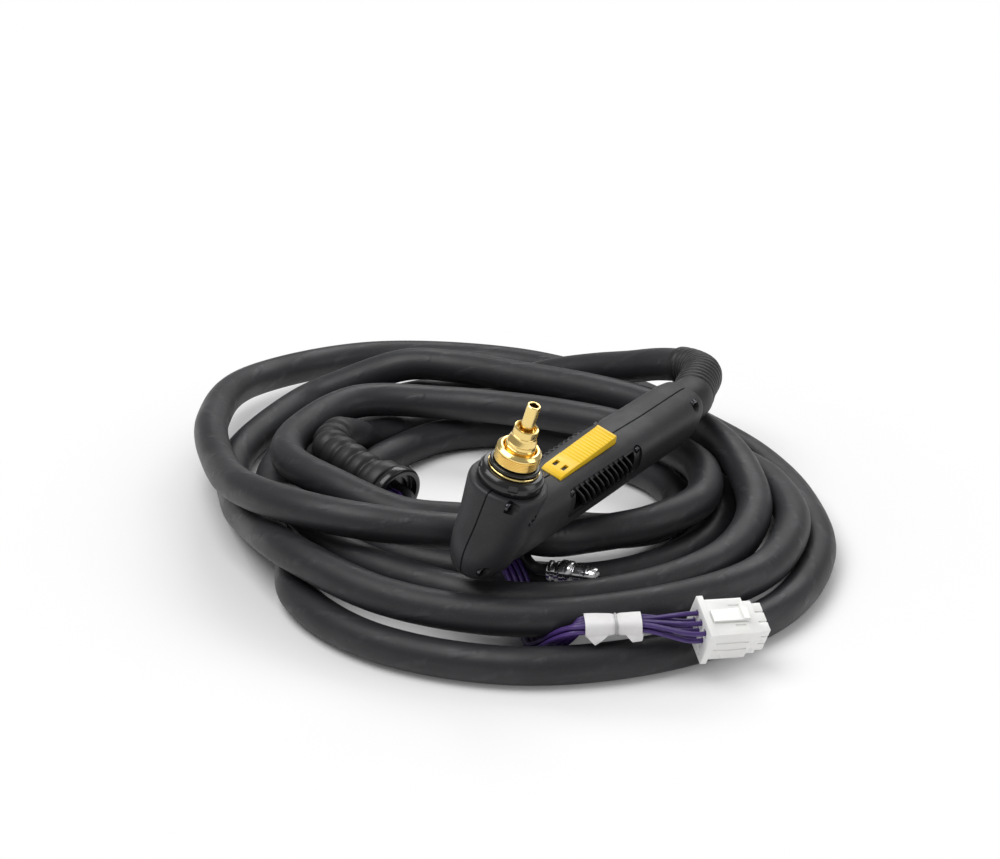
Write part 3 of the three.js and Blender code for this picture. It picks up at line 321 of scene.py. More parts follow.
def extruded_group() -> bpy.types.NodeTree:
    """Marks of an extruded sheath over its strands: long streaks and a faint twist, along its own map. The
    twist's crests are a bump, and in the mask they are painted highlight lines.

    Returns:
        The node group.
    """

    def fill(sheet: NodeSheet, start: bpy.types.Node, end: bpy.types.Node) -> None:
        """Draws streaks along U and bands that climb round V; the bands' crests paint highlight lines through
        the mask.
        """
        vector = start.outputs["Vector"]
        long = sheet.add("VectorMath", {0: vector, 1: (0.35, 14.0, 1.0)}, operation="MULTIPLY")
        drawn = {"Vector": long.outputs[0], "Scale": 1.0, "Detail": 4.0, "Roughness": 0.7}
        streak = sheet.add("TexNoise", drawn)
        parts = sheet.add("SeparateXYZ", {0: vector})
        climb = sheet.math("MULTIPLY", parts.outputs[0], start.outputs["Twist"])
        lay = sheet.math("MULTIPLY_ADD", parts.outputs[1], 4.0, climb)
        turn = sheet.math("MULTIPLY", lay, 2 * math.pi)
        wave = sheet.math("SINE", turn)
        # The crests of the climbing bands add to the bump and paint highlight lines in the colour.
        crest = sheet.ramp(wave, 0.55, 1.0)
        patchy = sheet.add("TexNoise", {"Vector": vector, "Scale": 1.3, "Detail": 3.0})
        patch = sheet.ramp(patchy.outputs["Fac"], 0.42, 0.66)
        seen = sheet.math("MULTIPLY", crest, patch)
        faint = sheet.math("MULTIPLY", streak.outputs["Fac"], 0.35)
        height = sheet.math("MULTIPLY_ADD", seen, 0.7, faint)
        broken = sheet.ramp(streak.outputs["Fac"], 0.5, 0.8)
        # The mask joins the extrusion streaks with the painted highlight lines on the crests.
        mark_and_highlight = sheet.math("MAXIMUM", seen, broken)
        sheet.feed(end.inputs["Height"], height)
        sheet.feed(end.inputs["Mask"], mark_and_highlight)

    return node_group(
        "Extruded sheath",
        [Channel("Vector", "Vector"), Channel("Twist", "Float", 1.0)],
        [Channel("Height", "Float"), Channel("Mask", "Float")],
        fill,
    )


# ---------------------------------------------------------------- finishes
@dataclass(frozen=True)
class Finish:
    """A finish: a Principled surface whose colour, roughness and bump come from the groups.

    Colours are linear. Bump is in metres.
    """

    name: str
    tone: Point
    drift: Point
    roughness: Pair
    drift_scale: float = 30.0
    dust: float = 0.0
    metallic: float = 0.0
    grain_scale: float = 900.0
    bump: float = 0.00002
    specular: float = 0.5
    subsurface: float = 0.0

    def start(self) -> tuple[bpy.types.Material, NodeSheet, bpy.types.Node]:
        """Makes the material and its surface node, with the values that are the same all over.

        Returns:
            The material, its sheet and the surface node.
        """
        material = bpy.data.materials.new(self.name)
        material.use_nodes = True
        sheet = NodeSheet(material.node_tree)
        surface = material.node_tree.nodes["Principled BSDF"]
        plain = {
            "Metallic": self.metallic,
            "Specular IOR Level": self.specular,
            "Subsurface Weight": self.subsurface,
            "Subsurface Radius": (0.003, 0.003, 0.0028),
            "Subsurface Scale": 0.4,
        }
        for name, value in plain.items():
            surface.inputs[name].default_value = value
        return material, sheet, surface

    def vector(self, sheet: NodeSheet) -> bpy.types.NodeSocket:
        """The coordinates that the pattern lies on."""
        return sheet.add("TexCoord").outputs["Object"]

    def pattern(self, sheet: NodeSheet, vector: bpy.types.NodeSocket) -> tuple:
        """The pattern that lies over the tone drift.

        Args:
            sheet: The material's sheet.
            vector: The coordinates.

        Returns:
            The height socket, and a mask socket that lightens and smooths, or None.
        """
        grain = sheet.add("Group", node_tree=grain_group())
        sheet.feed(grain.inputs["Vector"], vector)
        sheet.feed(grain.inputs["Scale"], self.grain_scale)
        return grain.outputs["Height"], None

    def material(self) -> bpy.types.Material:
        """Builds the finish's material once.

        Returns:
            The material.
        """
        found = bpy.data.materials.get(self.name)
        if found:
            return found
        material, sheet, surface = self.start()
        drift = sheet.add("Group", node_tree=drift_group())
        values = {
            "Vector": sheet.add("TexCoord").outputs["Object"],
            "Scale": self.drift_scale,
            "Tone A": (*self.tone, 1),
            "Tone B": (*self.drift, 1),
            "Dust": self.dust,
        }
        for name, value in values.items():
            sheet.feed(drift.inputs[name], value)
        height, mark_and_highlight = self.pattern(sheet, self.vector(sheet))
        colour = drift.outputs["Color"]
        rough = sheet.ramp(drift.outputs["Mask"], 0.0, 1.0, self.roughness)
        # The mask lightens the colour: lathe rings on turned metal; streaks and painted highlight lines on
        # sheaths.
        if mark_and_highlight is not None:
            times, more = MARK_AND_HIGHLIGHT_LIGHTER
            mark_and_highlight_tone = tuple(min(1.0, times * c + more) for c in self.drift)
            part = sheet.math("MULTIPLY", mark_and_highlight, MARK_AND_HIGHLIGHT_SHARE)
            colour = sheet.blended(part, colour, (*mark_and_highlight_tone, 1))
            rough = sheet.math("MULTIPLY_ADD", mark_and_highlight, -MARK_SMOOTHER, rough)
        bump = sheet.add("Bump", {"Height": height, "Strength": 1.0, "Distance": self.bump})
        sheet.feed(surface.inputs["Base Color"], colour)
        sheet.feed(surface.inputs["Roughness"], rough)
        sheet.feed(surface.inputs["Normal"], bump.outputs[0])
        return material


@dataclass(frozen=True)
class TurnedFinish(Finish):
    """A turned metal, whose marks run round an axis in the frame."""

    axis_at: Point = (0.0, 0.0, 0.0)
    axis_turn: Point = (0.0, 0.0, 0.0)
    marks: float = 9000.0

    def vector(self, sheet: NodeSheet) -> bpy.types.NodeSocket:
        """Object coordinates, moved so that Z is the turned axis."""
        axis = {"Location": self.axis_at, "Rotation": self.axis_turn}
        place = sheet.add("Mapping", axis, vector_type="TEXTURE")
        sheet.feed(place.inputs["Vector"], sheet.add("TexCoord").outputs["Object"])
        return place.outputs[0]

    def pattern(self, sheet: NodeSheet, vector: bpy.types.NodeSocket) -> tuple:
        """Lathe marks, as a height and a mask."""
        rings = sheet.add("Group", node_tree=turned_group())
        sheet.feed(rings.inputs["Vector"], vector)
        sheet.feed(rings.inputs["Scale"], self.marks)
        return rings.outputs["Height"], rings.outputs["Mask"]


@dataclass(frozen=True)
class SheathFinish(Finish):
    """An extruded sheath, whose marks and painted highlight lines follow the piece's own map."""

    twist: float = 1.0

    def vector(self, sheet: NodeSheet) -> bpy.types.NodeSocket:
        """The map along and round the sheath."""
        return sheet.add("UVMap", uv_map="Sheath").outputs[0]

    def pattern(self, sheet: NodeSheet, vector: bpy.types.NodeSocket) -> tuple:
        """Streaks and twist, as a height and a mask whose twist crests paint highlight lines."""
        marks = sheet.add("Group", node_tree=extruded_group())
        sheet.feed(marks.inputs["Vector"], vector)
        sheet.feed(marks.inputs["Twist"], self.twist)
        return marks.outputs["Height"], marks.outputs["Mask"]


SHELL = Finish(
    "Grained shell plastic", (0.020, 0.020, 0.022), (0.025, 0.025, 0.028), (0.54, 0.44),
    dust=0.08, grain_scale=1500.0, bump=0.000035, specular=0.40,
)
BLACK = Finish(
    "Smooth black plastic", (0.007, 0.007, 0.008), (0.011, 0.011, 0.012), (0.26, 0.18),
    bump=0.000005,
)
GRID = Finish(
    "Black grid plastic", (0.011, 0.011, 0.012), (0.016, 0.016, 0.018), (0.42, 0.32),
    bump=0.000006,
)
MOULDED = Finish(
    "Moulded boot rubber", (0.010, 0.010, 0.011), (0.016, 0.016, 0.017), (0.52, 0.42),
    dust=0.06, grain_scale=1100.0, bump=0.000015, specular=0.42,
)
YELLOW = Finish(
    "Satin yellow plastic", (0.95, 0.58, 0.008), (0.97, 0.63, 0.012), (0.40, 0.32),
    grain_scale=1300.0, bump=0.000008, subsurface=0.02,
)
SHEATH = SheathFinish(
    "Lead sheath rubber", (0.015, 0.015, 0.0175), (0.024, 0.024, 0.0275), (0.52, 0.42),
    drift_scale=14.0, dust=0.07, bump=0.00022, specular=0.42, twist=0.25,
)
PURPLE_TONES = ((0.046, 0.020, 0.130), (0.072, 0.034, 0.185))
JACKET = SheathFinish(
    "Purple wire jacket", *PURPLE_TONES, (0.42, 0.32), drift_scale=60.0, bump=0.00001, twist=0.0,
)
INNER_WIRE = Finish("Purple inner wire", *PURPLE_TONES, (0.42, 0.32), drift_scale=60.0, bump=0.00001)
TAPE = Finish(
    "White tape film", (0.80, 0.78, 0.78), (0.86, 0.85, 0.85), (0.60, 0.50),
    drift_scale=70.0, grain_scale=700.0, bump=0.000015, subsurface=0.1,
)
TIE = Finish(
    "Clear tie film", (0.36, 0.36, 0.37), (0.46, 0.46, 0.47), (0.34, 0.26),
    drift_scale=80.0, bump=0.000005,
)
NYLON = Finish(
    "Natural nylon", (0.90, 0.90, 0.88), (0.93, 0.93, 0.915), (0.36, 0.26),
    drift_scale=50.0, grain_scale=1000.0, bump=0.00001, subsurface=0.25,
)
STEEL = Finish(
    "Dark socket steel", (0.060, 0.060, 0.065), (0.10, 0.10, 0.11), (0.32, 0.22),
    drift_scale=90.0, metallic=1.0, bump=0.000006,
)
BRASS = TurnedFinish(
    "Turned brass", (0.83, 0.56, 0.20), (0.90, 0.66, 0.28), (0.23, 0.16),
    drift_scale=45.0, metallic=1.0, bump=0.000008,
    axis_at=tuple(TORCH.translation), axis_turn=(math.radians(ROLL_DEG), 0.0, 0.0),
)


# ---------------------------------------------------------------- modelling helpers
def link(name: str, mesh: bpy.types.Mesh) -> bpy.types.Object:
    """Puts a mesh into the scene as a new object."""
    piece = bpy.data.objects.new(name, mesh)
    bpy.context.scene.collection.objects.link(piece)
    return piece


def choose(piece: bpy.types.Object) -> None:
    """Deselects everything, then selects one object and makes it active."""
    if bpy.context.mode != "OBJECT":
        bpy.ops.object.mode_set(mode="OBJECT")
    bpy.ops.object.select_all(action="DESELECT")
    piece.select_set(True)
    bpy.context.view_layer.objects.active = piece


@contextmanager
def editing(piece: bpy.types.Object) -> Iterator[None]:
    """Edit mode on one object with all of it selected."""
    choose(piece)
    bpy.ops.object.mode_set(mode="EDIT")
    bpy.ops.mesh.select_all(action="SELECT")
    yield
    bpy.ops.object.mode_set(mode="OBJECT")


def modified(piece: bpy.types.Object, kind: str, **settings: object) -> bpy.types.Object:
    """Adds a modifier and applies it.

    Args:
        piece: The object.
        kind: The modifier's type.
        settings: Its properties.

    Returns:
        The same object.
    """
    choose(piece)
    modifier = piece.modifiers.new(kind.title(), kind)
    for name, value in settings.items():
        setattr(modifier, name, value)
    bpy.ops.object.modifier_apply(modifier=modifier.name)
    return piece


def combined(piece: bpy.types.Object, cut: Cut, *tools: bpy.types.Object) -> bpy.types.Object:
    """Cuts, adds or keeps other shapes, which are used up.

    Args:
        piece: The shape that stays.
        cut: What is done with each tool.
        tools: The other shapes.

    Returns:
        The piece.
    """
    for tool in tools:
        modified(piece, "BOOLEAN", operation=cut.value, object=tool, solver="MANIFOLD")
        bpy.data.objects.remove(tool, do_unlink=True)
    return piece


def eased(
    piece: bpy.types.Object, width: float, segments: int = 2, angle_deg: float = 32.0,
) -> bpy.types.Object:
    """Rounds the sharp edges of a shape by a small bevel.

    Args:
        piece: The shape.
        width: How far the bevel reaches.
        segments: Its steps.
        angle_deg: Edges sharper than this are rounded.

    Returns:
        The shape.
    """
    return modified(
        piece, "BEVEL", width=width, segments=segments, limit_method="ANGLE",
        angle_limit=math.radians(angle_deg),
    )


def copied(piece: bpy.types.Object, name: str) -> bpy.types.Object:
    """A copy of an object with a mesh of its own."""
    return link(name, piece.data.copy())


def closed_up(piece: bpy.types.Object, apart: float = 1e-4) -> None:
    """Merges points that are closer than a distance and turns the faces outwards."""
    with editing(piece):
        bpy.ops.mesh.remove_doubles(threshold=apart)
        bpy.ops.mesh.normals_make_consistent(inside=False)


def stepped(radius: float, height: float, steps: Steps) -> list[Pair]:
    """Corners of a turned profile, each so far in from a radius and up from a height."""
    return [(radius - inward, height + up) for inward, up in steps]


def hollow(bore: float, foot: float, *corners: Pair) -> list[Pair]:
    """A closed profile that starts and ends at the foot of its bore."""
    return [(bore, foot), *corners, (bore, foot)]


def turned(name: str, profile: Sequence[Pair], steps: int = 72) -> bpy.types.Object:
    """Spins a profile of radius and height round Z.

    Args:
        name: The object's name.
        profile: Corners as radius and height, closed on the axis or on themselves.
        steps: Faces round the axis.

    Returns:
        The turned object.
    """
    mesh = bpy.data.meshes.new(name)
    corners = [(radius, 0.0, height) for radius, height in profile]
    mesh.from_pydata(corners, [(k, k + 1) for k in range(len(corners) - 1)], [])
    piece = link(name, mesh)
    with editing(piece):
        bpy.ops.mesh.spin(steps=steps, angle=2 * math.pi, center=(0, 0, 0), axis=(0, 0, 1))
    closed_up(piece)
    return piece


def block(name: str, x: Pair, y: Pair, z: Pair) -> bpy.types.Object:
    """A box between two places on each axis, given in either order.

    Args:
        name: The new object's name.
        x: Its two places along.
        y: Its two places across.
        z: Its two heights.

    Returns:
        The box.
    """
    bpy.ops.object.select_all(action="DESELECT")
    spans = [sorted(span) for span in (x, y, z)]
    bpy.ops.mesh.primitive_cube_add(size=1, location=[(low + high) / 2 for low, high in spans])
    piece = bpy.context.object
    piece.name = name
    piece.scale = [high - low for low, high in spans]
    bpy.ops.object.transform_apply(location=True, rotation=True, scale=True)
    return piece


def rod(
    name: str, radius: float, start: Sequence[float], end: Sequence[float], sides: int = 48,
) -> bpy.types.Object:
    """A round bar between two points.

    Args:
        name: The new object's name.
        radius: Its radius.
        start: The middle of one end.
        end: The middle of the other.
        sides: The sides of its section.

    Returns:
        The bar.
    """
    first, last = Vector(start), Vector(end)
    turn = (last - first).to_track_quat("Z", "Y")
    bpy.ops.object.select_all(action="DESELECT")
    bpy.ops.mesh.primitive_cylinder_add(
        vertices=sides, radius=radius, depth=(last - first).length,
        location=(first + last) / 2, rotation=turn.to_euler(),
    )
    piece = bpy.context.object
    piece.name = name
    bpy.ops.object.transform_apply(location=True, rotation=True, scale=True)
    return piece


def skinned(name: str, rings: Sequence[Sequence[Sequence[float]]]) -> bpy.types.Object:
    """A closed skin through rings of points with a fan at each end.

    Args:
        name: The object's name.
        rings: Rings with the same number of points each.

    Returns:
        The lofted object.
    """
    grid = np.asarray(rings, float)
    count, sides = grid.shape[:2]
    points = np.concatenate([grid.reshape(-1, 3), grid[0].mean(0)[None], grid[-1].mean(0)[None]])
    faces = []
    for row in range(count - 1):
        for side in range(sides):
            a, b = row * sides + side, row * sides + (side + 1) % sides
            faces.append((a, b, b + sides, a + sides))
    for end, row in enumerate((0, count - 1)):
        for side in range(sides):
            faces.append((row * sides + side, row * sides + (side + 1) % sides, count * sides + end))
    mesh = bpy.data.meshes.new(name)
    mesh.from_pydata([tuple(p) for p in points], [], faces)
    piece = link(name, mesh)
    with editing(piece):
        bpy.ops.mesh.normals_make_consistent(inside=False)
    return piece


def aimed(piece: bpy.types.Object, start: Sequence[float], direction: Sequence[float]) -> bpy.types.Object:
    """Moves a shape drawn on Z so that it starts at a point and runs along a direction.

    Args:
        piece: The shape.
        start: The point.
        direction: The direction.

    Returns:
        The shape.
    """
    turn = Vector((0, 0, 1)).rotation_difference(Vector(direction).normalized())
    piece.data.transform(Matrix.Translation(Vector(start)) @ turn.to_matrix().to_4x4())
    return piece


def directed(place: Vector, along: Vector, upper: Vector) -> Matrix:
    """The way to a place whose Z runs along one direction and whose Y leans to another.

    Args:
        place: The place.
        along: Where Z runs.
        upper: Where Y leans.

    Returns:
        The way as a matrix.
    """
    forward = along.normalized()
    across = upper.cross(forward).normalized()
    turn = Matrix((across, forward.cross(across), forward)).transposed().to_4x4()
    return Matrix.Translation(place) @ turn


def finished(
    piece: bpy.types.Object,
    place: Matrix,
    finish: Finish,
    slot: Slot,
    *nodes: str,
    body: Body = Body.TORCH,
    angle_deg: float = 38.0,
) -> bpy.types.Object:
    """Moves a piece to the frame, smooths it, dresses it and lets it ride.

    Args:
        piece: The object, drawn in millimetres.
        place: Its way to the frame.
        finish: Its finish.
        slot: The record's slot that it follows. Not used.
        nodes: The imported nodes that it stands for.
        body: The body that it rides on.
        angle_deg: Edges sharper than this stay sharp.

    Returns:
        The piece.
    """
    piece.data.transform(place)
    choose(piece)
    bpy.ops.object.shade_smooth_by_angle(angle=math.radians(angle_deg))
    piece.data.materials.clear()
    piece.data.materials.append(finish.material())
    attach(piece, body.value)
    if nodes:
        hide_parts(*nodes)
    LOG.info("%s: %d faces", piece.name, len(piece.data.polygons))
    return piece


def dressed(node: str, finish: Finish) -> None:
    """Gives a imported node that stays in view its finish.

    Args:
        node: Its name.
        finish: The finish.
    """
    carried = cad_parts[node]
    carried.data.materials.clear()
    carried.data.materials.append(finish.material())
    LOG.info("%s keeps its solid", node)


# ---------------------------------------------------------------- routes and tubes
def smooth_route(points: Sequence[Sequence[float]], steps: int) -> np.ndarray:
    """Points along the smooth curve through chosen stops, with the same number of steps between stops.

    Args:
        points: The stops.
        steps: Steps from one stop to the next.

    Returns:
        The curve's points.
    """
    stops = np.asarray(points, float)
    before = 2 * stops[:1] - stops[1:2]
    after = 2 * stops[-1:] - stops[-2:-1]
    p = np.concatenate([before, stops, after])
    curve = []
    for k in range(1, len(p) - 2):
        a, b, c, d = p[k - 1], p[k], p[k + 1], p[k + 2]
        for t in np.arange(steps) / steps:
            slope_b, slope_c = (c - a) / 2, (d - b) / 2
            curve.append(
                (2 * t**3 - 3 * t**2 + 1) * b + (t**3 - 2 * t**2 + t) * slope_b
                + (3 * t**2 - 2 * t**3) * c + (t**3 - t**2) * slope_c
            )
    return np.array([*curve, stops[-1]])


def evened(curve: np.ndarray, step: float) -> np.ndarray:
    """The same curve with points about a step apart.

    Args:
        curve: The curve's points.
        step: How far apart the new ones are.

    Returns:
        The new points.
    """
    reach = np.concatenate([[0], np.cumsum(np.linalg.norm(np.diff(curve, axis=0), axis=1))])
    count = max(2, round(reach[-1] / step) + 1)
    wanted = np.linspace(0, reach[-1], count)
    return np.stack([np.interp(wanted, reach, curve[:, k]) for k in range(3)], axis=1)


def tube(name: str, curve: np.ndarray, radius: Callable[[float], float], sides: int = 24) -> bpy.types.Object:
    """A closed tube along a curve, with a map along and round it.

    Args:
        name: The object's name.
        curve: The points of its centreline.
        radius: Its radius at a share of its length.
        sides: Faces round it.

    Returns:
        The tube object. Its map is named Sheath, in centimetres along and turns round.
    """
    along = np.gradient(curve, axis=0)
    along /= np.linalg.norm(along, axis=1)[:, None]
    normal = np.cross(along[0], (0.12, 0.31, 0.94))
    rings = []
    for k, middle in enumerate(curve):
        normal = normal - along[k] * normal.dot(along[k])
        normal /= np.linalg.norm(normal)
        across = np.cross(along[k], normal)
        size = radius(k / (len(curve) - 1))
        turn = np.arange(sides) * 2 * np.pi / sides
        rings.append(middle + size * (np.cos(turn)[:, None] * normal + np.sin(turn)[:, None] * across))
    piece = skinned(name, rings)
    reach = np.concatenate([[0], np.cumsum(np.linalg.norm(np.diff(curve, axis=0), axis=1))]) / 10
    count = len(curve)
    layer = piece.data.uv_layers.new(name="Sheath")
    for face in piece.data.polygons:
        ids = [piece.data.loops[loop].vertex_index for loop in face.loop_indices]
        turns = [(i % sides) / sides for i in ids]
        wraps = max(turns) - min(turns) > 0.5
        for loop, i, turn in zip(face.loop_indices, ids, turns):
            if i >= count * sides:
                layer.data[loop].uv = (float(reach[-1] if i > count * sides else 0), 0.5)
            else:
                over = 1.0 if wraps and turn < 0.5 else 0.0
                layer.data[loop].uv = (float(reach[i // sides]), turn + over)
    return piece


# ---------------------------------------------------------------- handle
def rounded_section(
    left: float, right: float, low: float, high: float, squareness: float, sides: int,
) -> np.ndarray:
    """A rounded-square outline.

    Args:
        left: Reach to the negative first axis.
        right: Reach to the positive first axis.
        low: Reach to the negative second axis.
        high: Reach to the positive second axis.
        squareness: 2 is an ellipse, more is squarer.
        sides: Points round it.

    Returns:
        The outline's points.
    """
    angle = np.arange(sides) * 2 * np.pi / sides
    u = np.sign(np.cos(angle)) * np.abs(np.cos(angle)) ** (2 / squareness)
    v = np.sign(np.sin(angle)) * np.abs(np.sin(angle)) ** (2 / squareness)
    return np.stack([u * np.where(u > 0, right, left), v * np.where(v > 0, high, low)], axis=1)


@dataclass
class Handle:
    """The two shells of the handle and head, with their vents and screws.

    The right side is the negative one. A case screw is its place along and up the handle, and how deep its
    seat lies. The side screw is its place along and up, and its seat.
    """

    half_width: float = 16.4
    top: float = 14.4
    foot: float = 17.6
    start_x: float = -6.0
    neck_x: Pair = (12.0, 32.0)
    end_x: float = 190.0
    end_round: Pair = (12.0, 3.0)
    rear_drop: float = 3.0
    squareness: float = 2.7
    heel: float = -22.0
    seat: float = 31.5
    head_squareness: float = 2.2
    wall: float = 2.6
    seam: float = 0.15
    groove: Pair = (0.42, 0.55)
    voxel: float = 0.85
    smoothings: int = 9
    sides: int = 96
    step: float = 2.5
    boot_inside: float = 6.0
    boot_radius: float = 12.2
    insulator_radius: float = 10.8
    insulator_foot: float = 2.0
    trigger_x: Pair = (47.0, 101.0)
    trigger_half: float = 5.9
    switch_top: float = 5.3
    vent_x: Pair = (46.3, 117.3)
    vent_z: Pair = (-3.0, 11.4)
    vent_reach: Pair = (-5.5, 3.0)
    vent_thick: float = 3.4
    vent_border: Pair = (6.2, 1.8)
    vent_play: float = 0.05
    vent_sunk: float = 1.0
    opening_round: float = 1.2
    fins_per_vent: int = 11
    fin_x: float = 7.0
    fin_slant: float = 0.75
    fin_ends: Pair = (0.7, 0.5)
    fin_half: Pair = (0.95, 1.71)
    fin_root: float = 1.75
    fin_proud: float = 1.7
    fin_start: float = 0.12
    fin_rows: int = 15
    fin_sides: int = 16
    screw_head: float = 2.3
    screw_thick: float = 1.6
    screw_foot: Steps = ((0.15, 0.0), (0.0, 0.15))
    screw_dome: Steps = ((0.0, -0.4), (0.12, -0.15), (0.4, 0.0))
    shank: float = 1.3
    shank_point: Pair = (0.7, 0.4)
    socket: Pair = (0.5, 1.0)
    boss: float = 4.6
    well: float = 3.4
    case_screw_end: float = 8.0
    case_screw_rise: float = 2.0
    case_screws: dict[str, Point] = field(
        default_factory=lambda: {
            "case_screw_front": (-15.8, 28.5, 8.5),
            "case_screw_heel": (-17.4, -10.8, 10.8),
            "case_screw_rear": (179.4, 10.5, 9.6),
        }
    )
    side_screw: Point = (1.5, 17.0, -15.9)
    side_screw_length: float = 2.4
    vent_screw_head: float = 1.6
    vent_screw_length: float = 3.0
    vent_screw_seat: float = 12.2
    vent_screw_inset: Pair = (3.2, 2.1)
    vent_boss_x: Pair = (4.0, 7.0)
    vent_boss_half: float = 3.0
    vent_boss_depth: float = 4.0

    def handle_sizes(self, x: float) -> Point:
        """Half width, top and foot of the handle at a place along it.

        Args:
            x: The place along the handle.

        Returns:
            The three reaches from its axis.
        """
        rear, drop = self.end_x, self.rear_drop
        # Each station is a place, and what half width and top gain and the foot loses there.
        stations = [
            (self.start_x, -4, -4, 4),
            (self.neck_x[0], -0.6, 1.2, -1.6),
            (self.neck_x[1], 0, 0.8, -0.6),
            (self.trigger_x[0], 0, 0, 0),
            (self.trigger_x[1], 0, 0.6, 0),
            (rear - 50, -0.8, -0.3 * drop, -0.3 * drop),
            (rear - self.end_round[0], -1.4, 0.6 - 0.5 * drop, -0.7 * drop),
            (rear - self.end_round[1], -2.4, -0.4 - 0.5 * drop, 1 - 0.7 * drop),
            (rear, -4, -1.6 - 0.5 * drop, 3 - 0.7 * drop),
        ]
        places = [row[0] for row in stations]
        wide, high, low = (float(np.interp(x, places, [row[k] for row in stations])) for k in (1, 2, 3))
        return self.half_width + wide, self.top + high, self.foot - low

    def handle_form(self, name: str, inset: float) -> bpy.types.Object:
        """The handle's outer form, drawn in by an inset.

        Args:
            name: The new object's name.
            inset: How far inside the skin it lies.

        Returns:
            The form.
        """
        last = self.end_x - inset
        kept = {*self.neck_x, *(self.end_x - length for length in self.end_round), last}
        places = sorted({*np.arange(self.start_x, last, self.step), *(x for x in kept if x <= last)})
        rings = []
        for x in places:
            half, high, low = (size - inset for size in self.handle_sizes(x + (inset if x == last else 0)))
            outline = rounded_section(half, half, low, high, self.squareness, self.sides)
            rings.append([(x, y, z) for y, z in outline])
        return skinned(name, rings)

    def head_form(self, name: str, inset: float) -> bpy.types.Object:
        """The head's outer form, drawn in by an inset.

        Args:
            name: The new object's name.
            inset: How far inside the skin it lies.

        Returns:
            The form.
        """
        # Each station is a height, and the reach to the front, to the rear and to either side there.
        stations = [
            (self.heel + inset, 7, 3, 5),
            (self.heel + 1.4 + inset, 13.5, 8, 9),
            (self.heel + 5, 19, 11.5, 12),
            (self.heel + 11, 22.6, 14, 14.4),
            (-1, 24.2, 16, 16),
            (12, 21.6, 18, 17.2),
            (24, 20.2, 19.4, 18.8),
            (30, 19.6, 19.6, 19.4),
            (self.seat - inset, 18.6, 18.6, 18.6),
        ]
        line = smooth_route([(front, rear, half) for _, front, rear, half in stations], 4)
        heights = smooth_route([(z, 0, 0) for z, *_ in stations], 4)[:, 0]
        rings = []
        for (front, rear, half), z in zip(line, heights):
            reaches = (front - inset, rear - inset, half - inset, half - inset)
            outline = rounded_section(*reaches, self.head_squareness, self.sides)
            rings.append([(x, y, z) for x, y in outline])
        return skinned(name, rings)

    def form(self, name: str, inset: float) -> bpy.types.Object:
        """Handle and head as one form."""
        return combined(self.handle_form(name, inset), Cut.ADD, self.head_form(name + "_head", inset))

    def skin_y(self, x: float, z: float, inset: float) -> float:
        """How far the handle's skin lies from the seam at a place along and up it.

        Args:
            x: The place along the handle.
            z: The place up it.
            inset: How far inside the skin.

        Returns:
            The distance.
        """
        half, high, low = (size - inset for size in self.handle_sizes(x))
        share = min(1.0, abs(z) / (high if z > 0 else low))
        return half * (1 - share**self.squareness) ** (1 / self.squareness)

    def window(self, name: str, side: int, margin: float) -> bpy.types.Object:
        """A round-cornered prism through a vent's place, grown by a margin.

        Args:
            name: The new object's name.
            side: -1 for the right side, 1 for the left.
            margin: How far it is grown all round.

        Returns:
            The prism.
        """
        low, high = self.vent_z[0] - margin, self.vent_z[1] + margin
        first, last = self.vent_x[0] - margin, self.vent_x[1] + margin
        across = tuple(side * (self.half_width + past) for past in self.vent_reach)
        corner = (high - low) / 4
        shape = block(name, (first + corner, last - corner), across, (low, high))
        ends = [block("window_end", (first, last), across, (low + corner, high - corner))]
        for x in (first + corner, last - corner):
            for z in (low + corner, high - corner):
                ends.append(rod("window_corner", corner, (x, across[0], z), (x, across[1], z), 32))
        return combined(shape, Cut.ADD, *ends)

    def vent_screws(self) -> dict[str, Pair]:
        """The place along and up the handle of a vent's screws, by their end of the vent.

        Returns:
            The places by end.
        """
        along, down = self.vent_screw_inset
        z = self.vent_z[1] - down
        return {"front": (self.vent_x[0] + along, z), "rear": (self.vent_x[1] - along, z)}

    def screw_hole(self, x: float, z: float, seat: float, end: float) -> list[bpy.types.Object]:
        """The counterbore and the hole of a screw from the right side.

        Args:
            x: The screw's place along the handle.
            z: Its place up it.
            seat: Where its head sits, across the handle.
            end: Where its shank ends.

        Returns:
            Both shapes to cut away.
        """
        return [
            rod("bore", self.well, (x, -BEYOND, z), (x, seat, z)),
            rod("hole", self.shank + GAP, (x, -BEYOND, z), (x, end, z)),
        ]

    def screw_seat(self, sunk: float) -> float:
        """The place across the handle where a case screw's head sits."""
        return -(self.half_width + self.case_screw_rise - sunk)

    def bosses(self) -> bpy.types.Object:
        """The solid rods and blocks that the screws stand in.

        Returns:
            All of them as one shape.
        """
        half = self.half_width
        rods = [rod("boss", self.boss, (x, -half, z), (x, half, z)) for x, z, _ in self.case_screws.values()]
        outward, inward = self.vent_boss_x
        front, rear = self.vent_x
        _, z = self.vent_screws()["front"]
        up = (z - self.vent_boss_half, z + self.vent_boss_half)
        blocks = []
        for side in (-1, 1):
            across = (side * (self.vent_screw_seat - self.vent_boss_depth), side * half)
            for along in ((front - outward, front + inward), (rear - inward, rear + outward)):
                blocks.append(block("boss", along, across, up))
        return combined(rods[0], Cut.ADD, *rods[1:], *blocks)

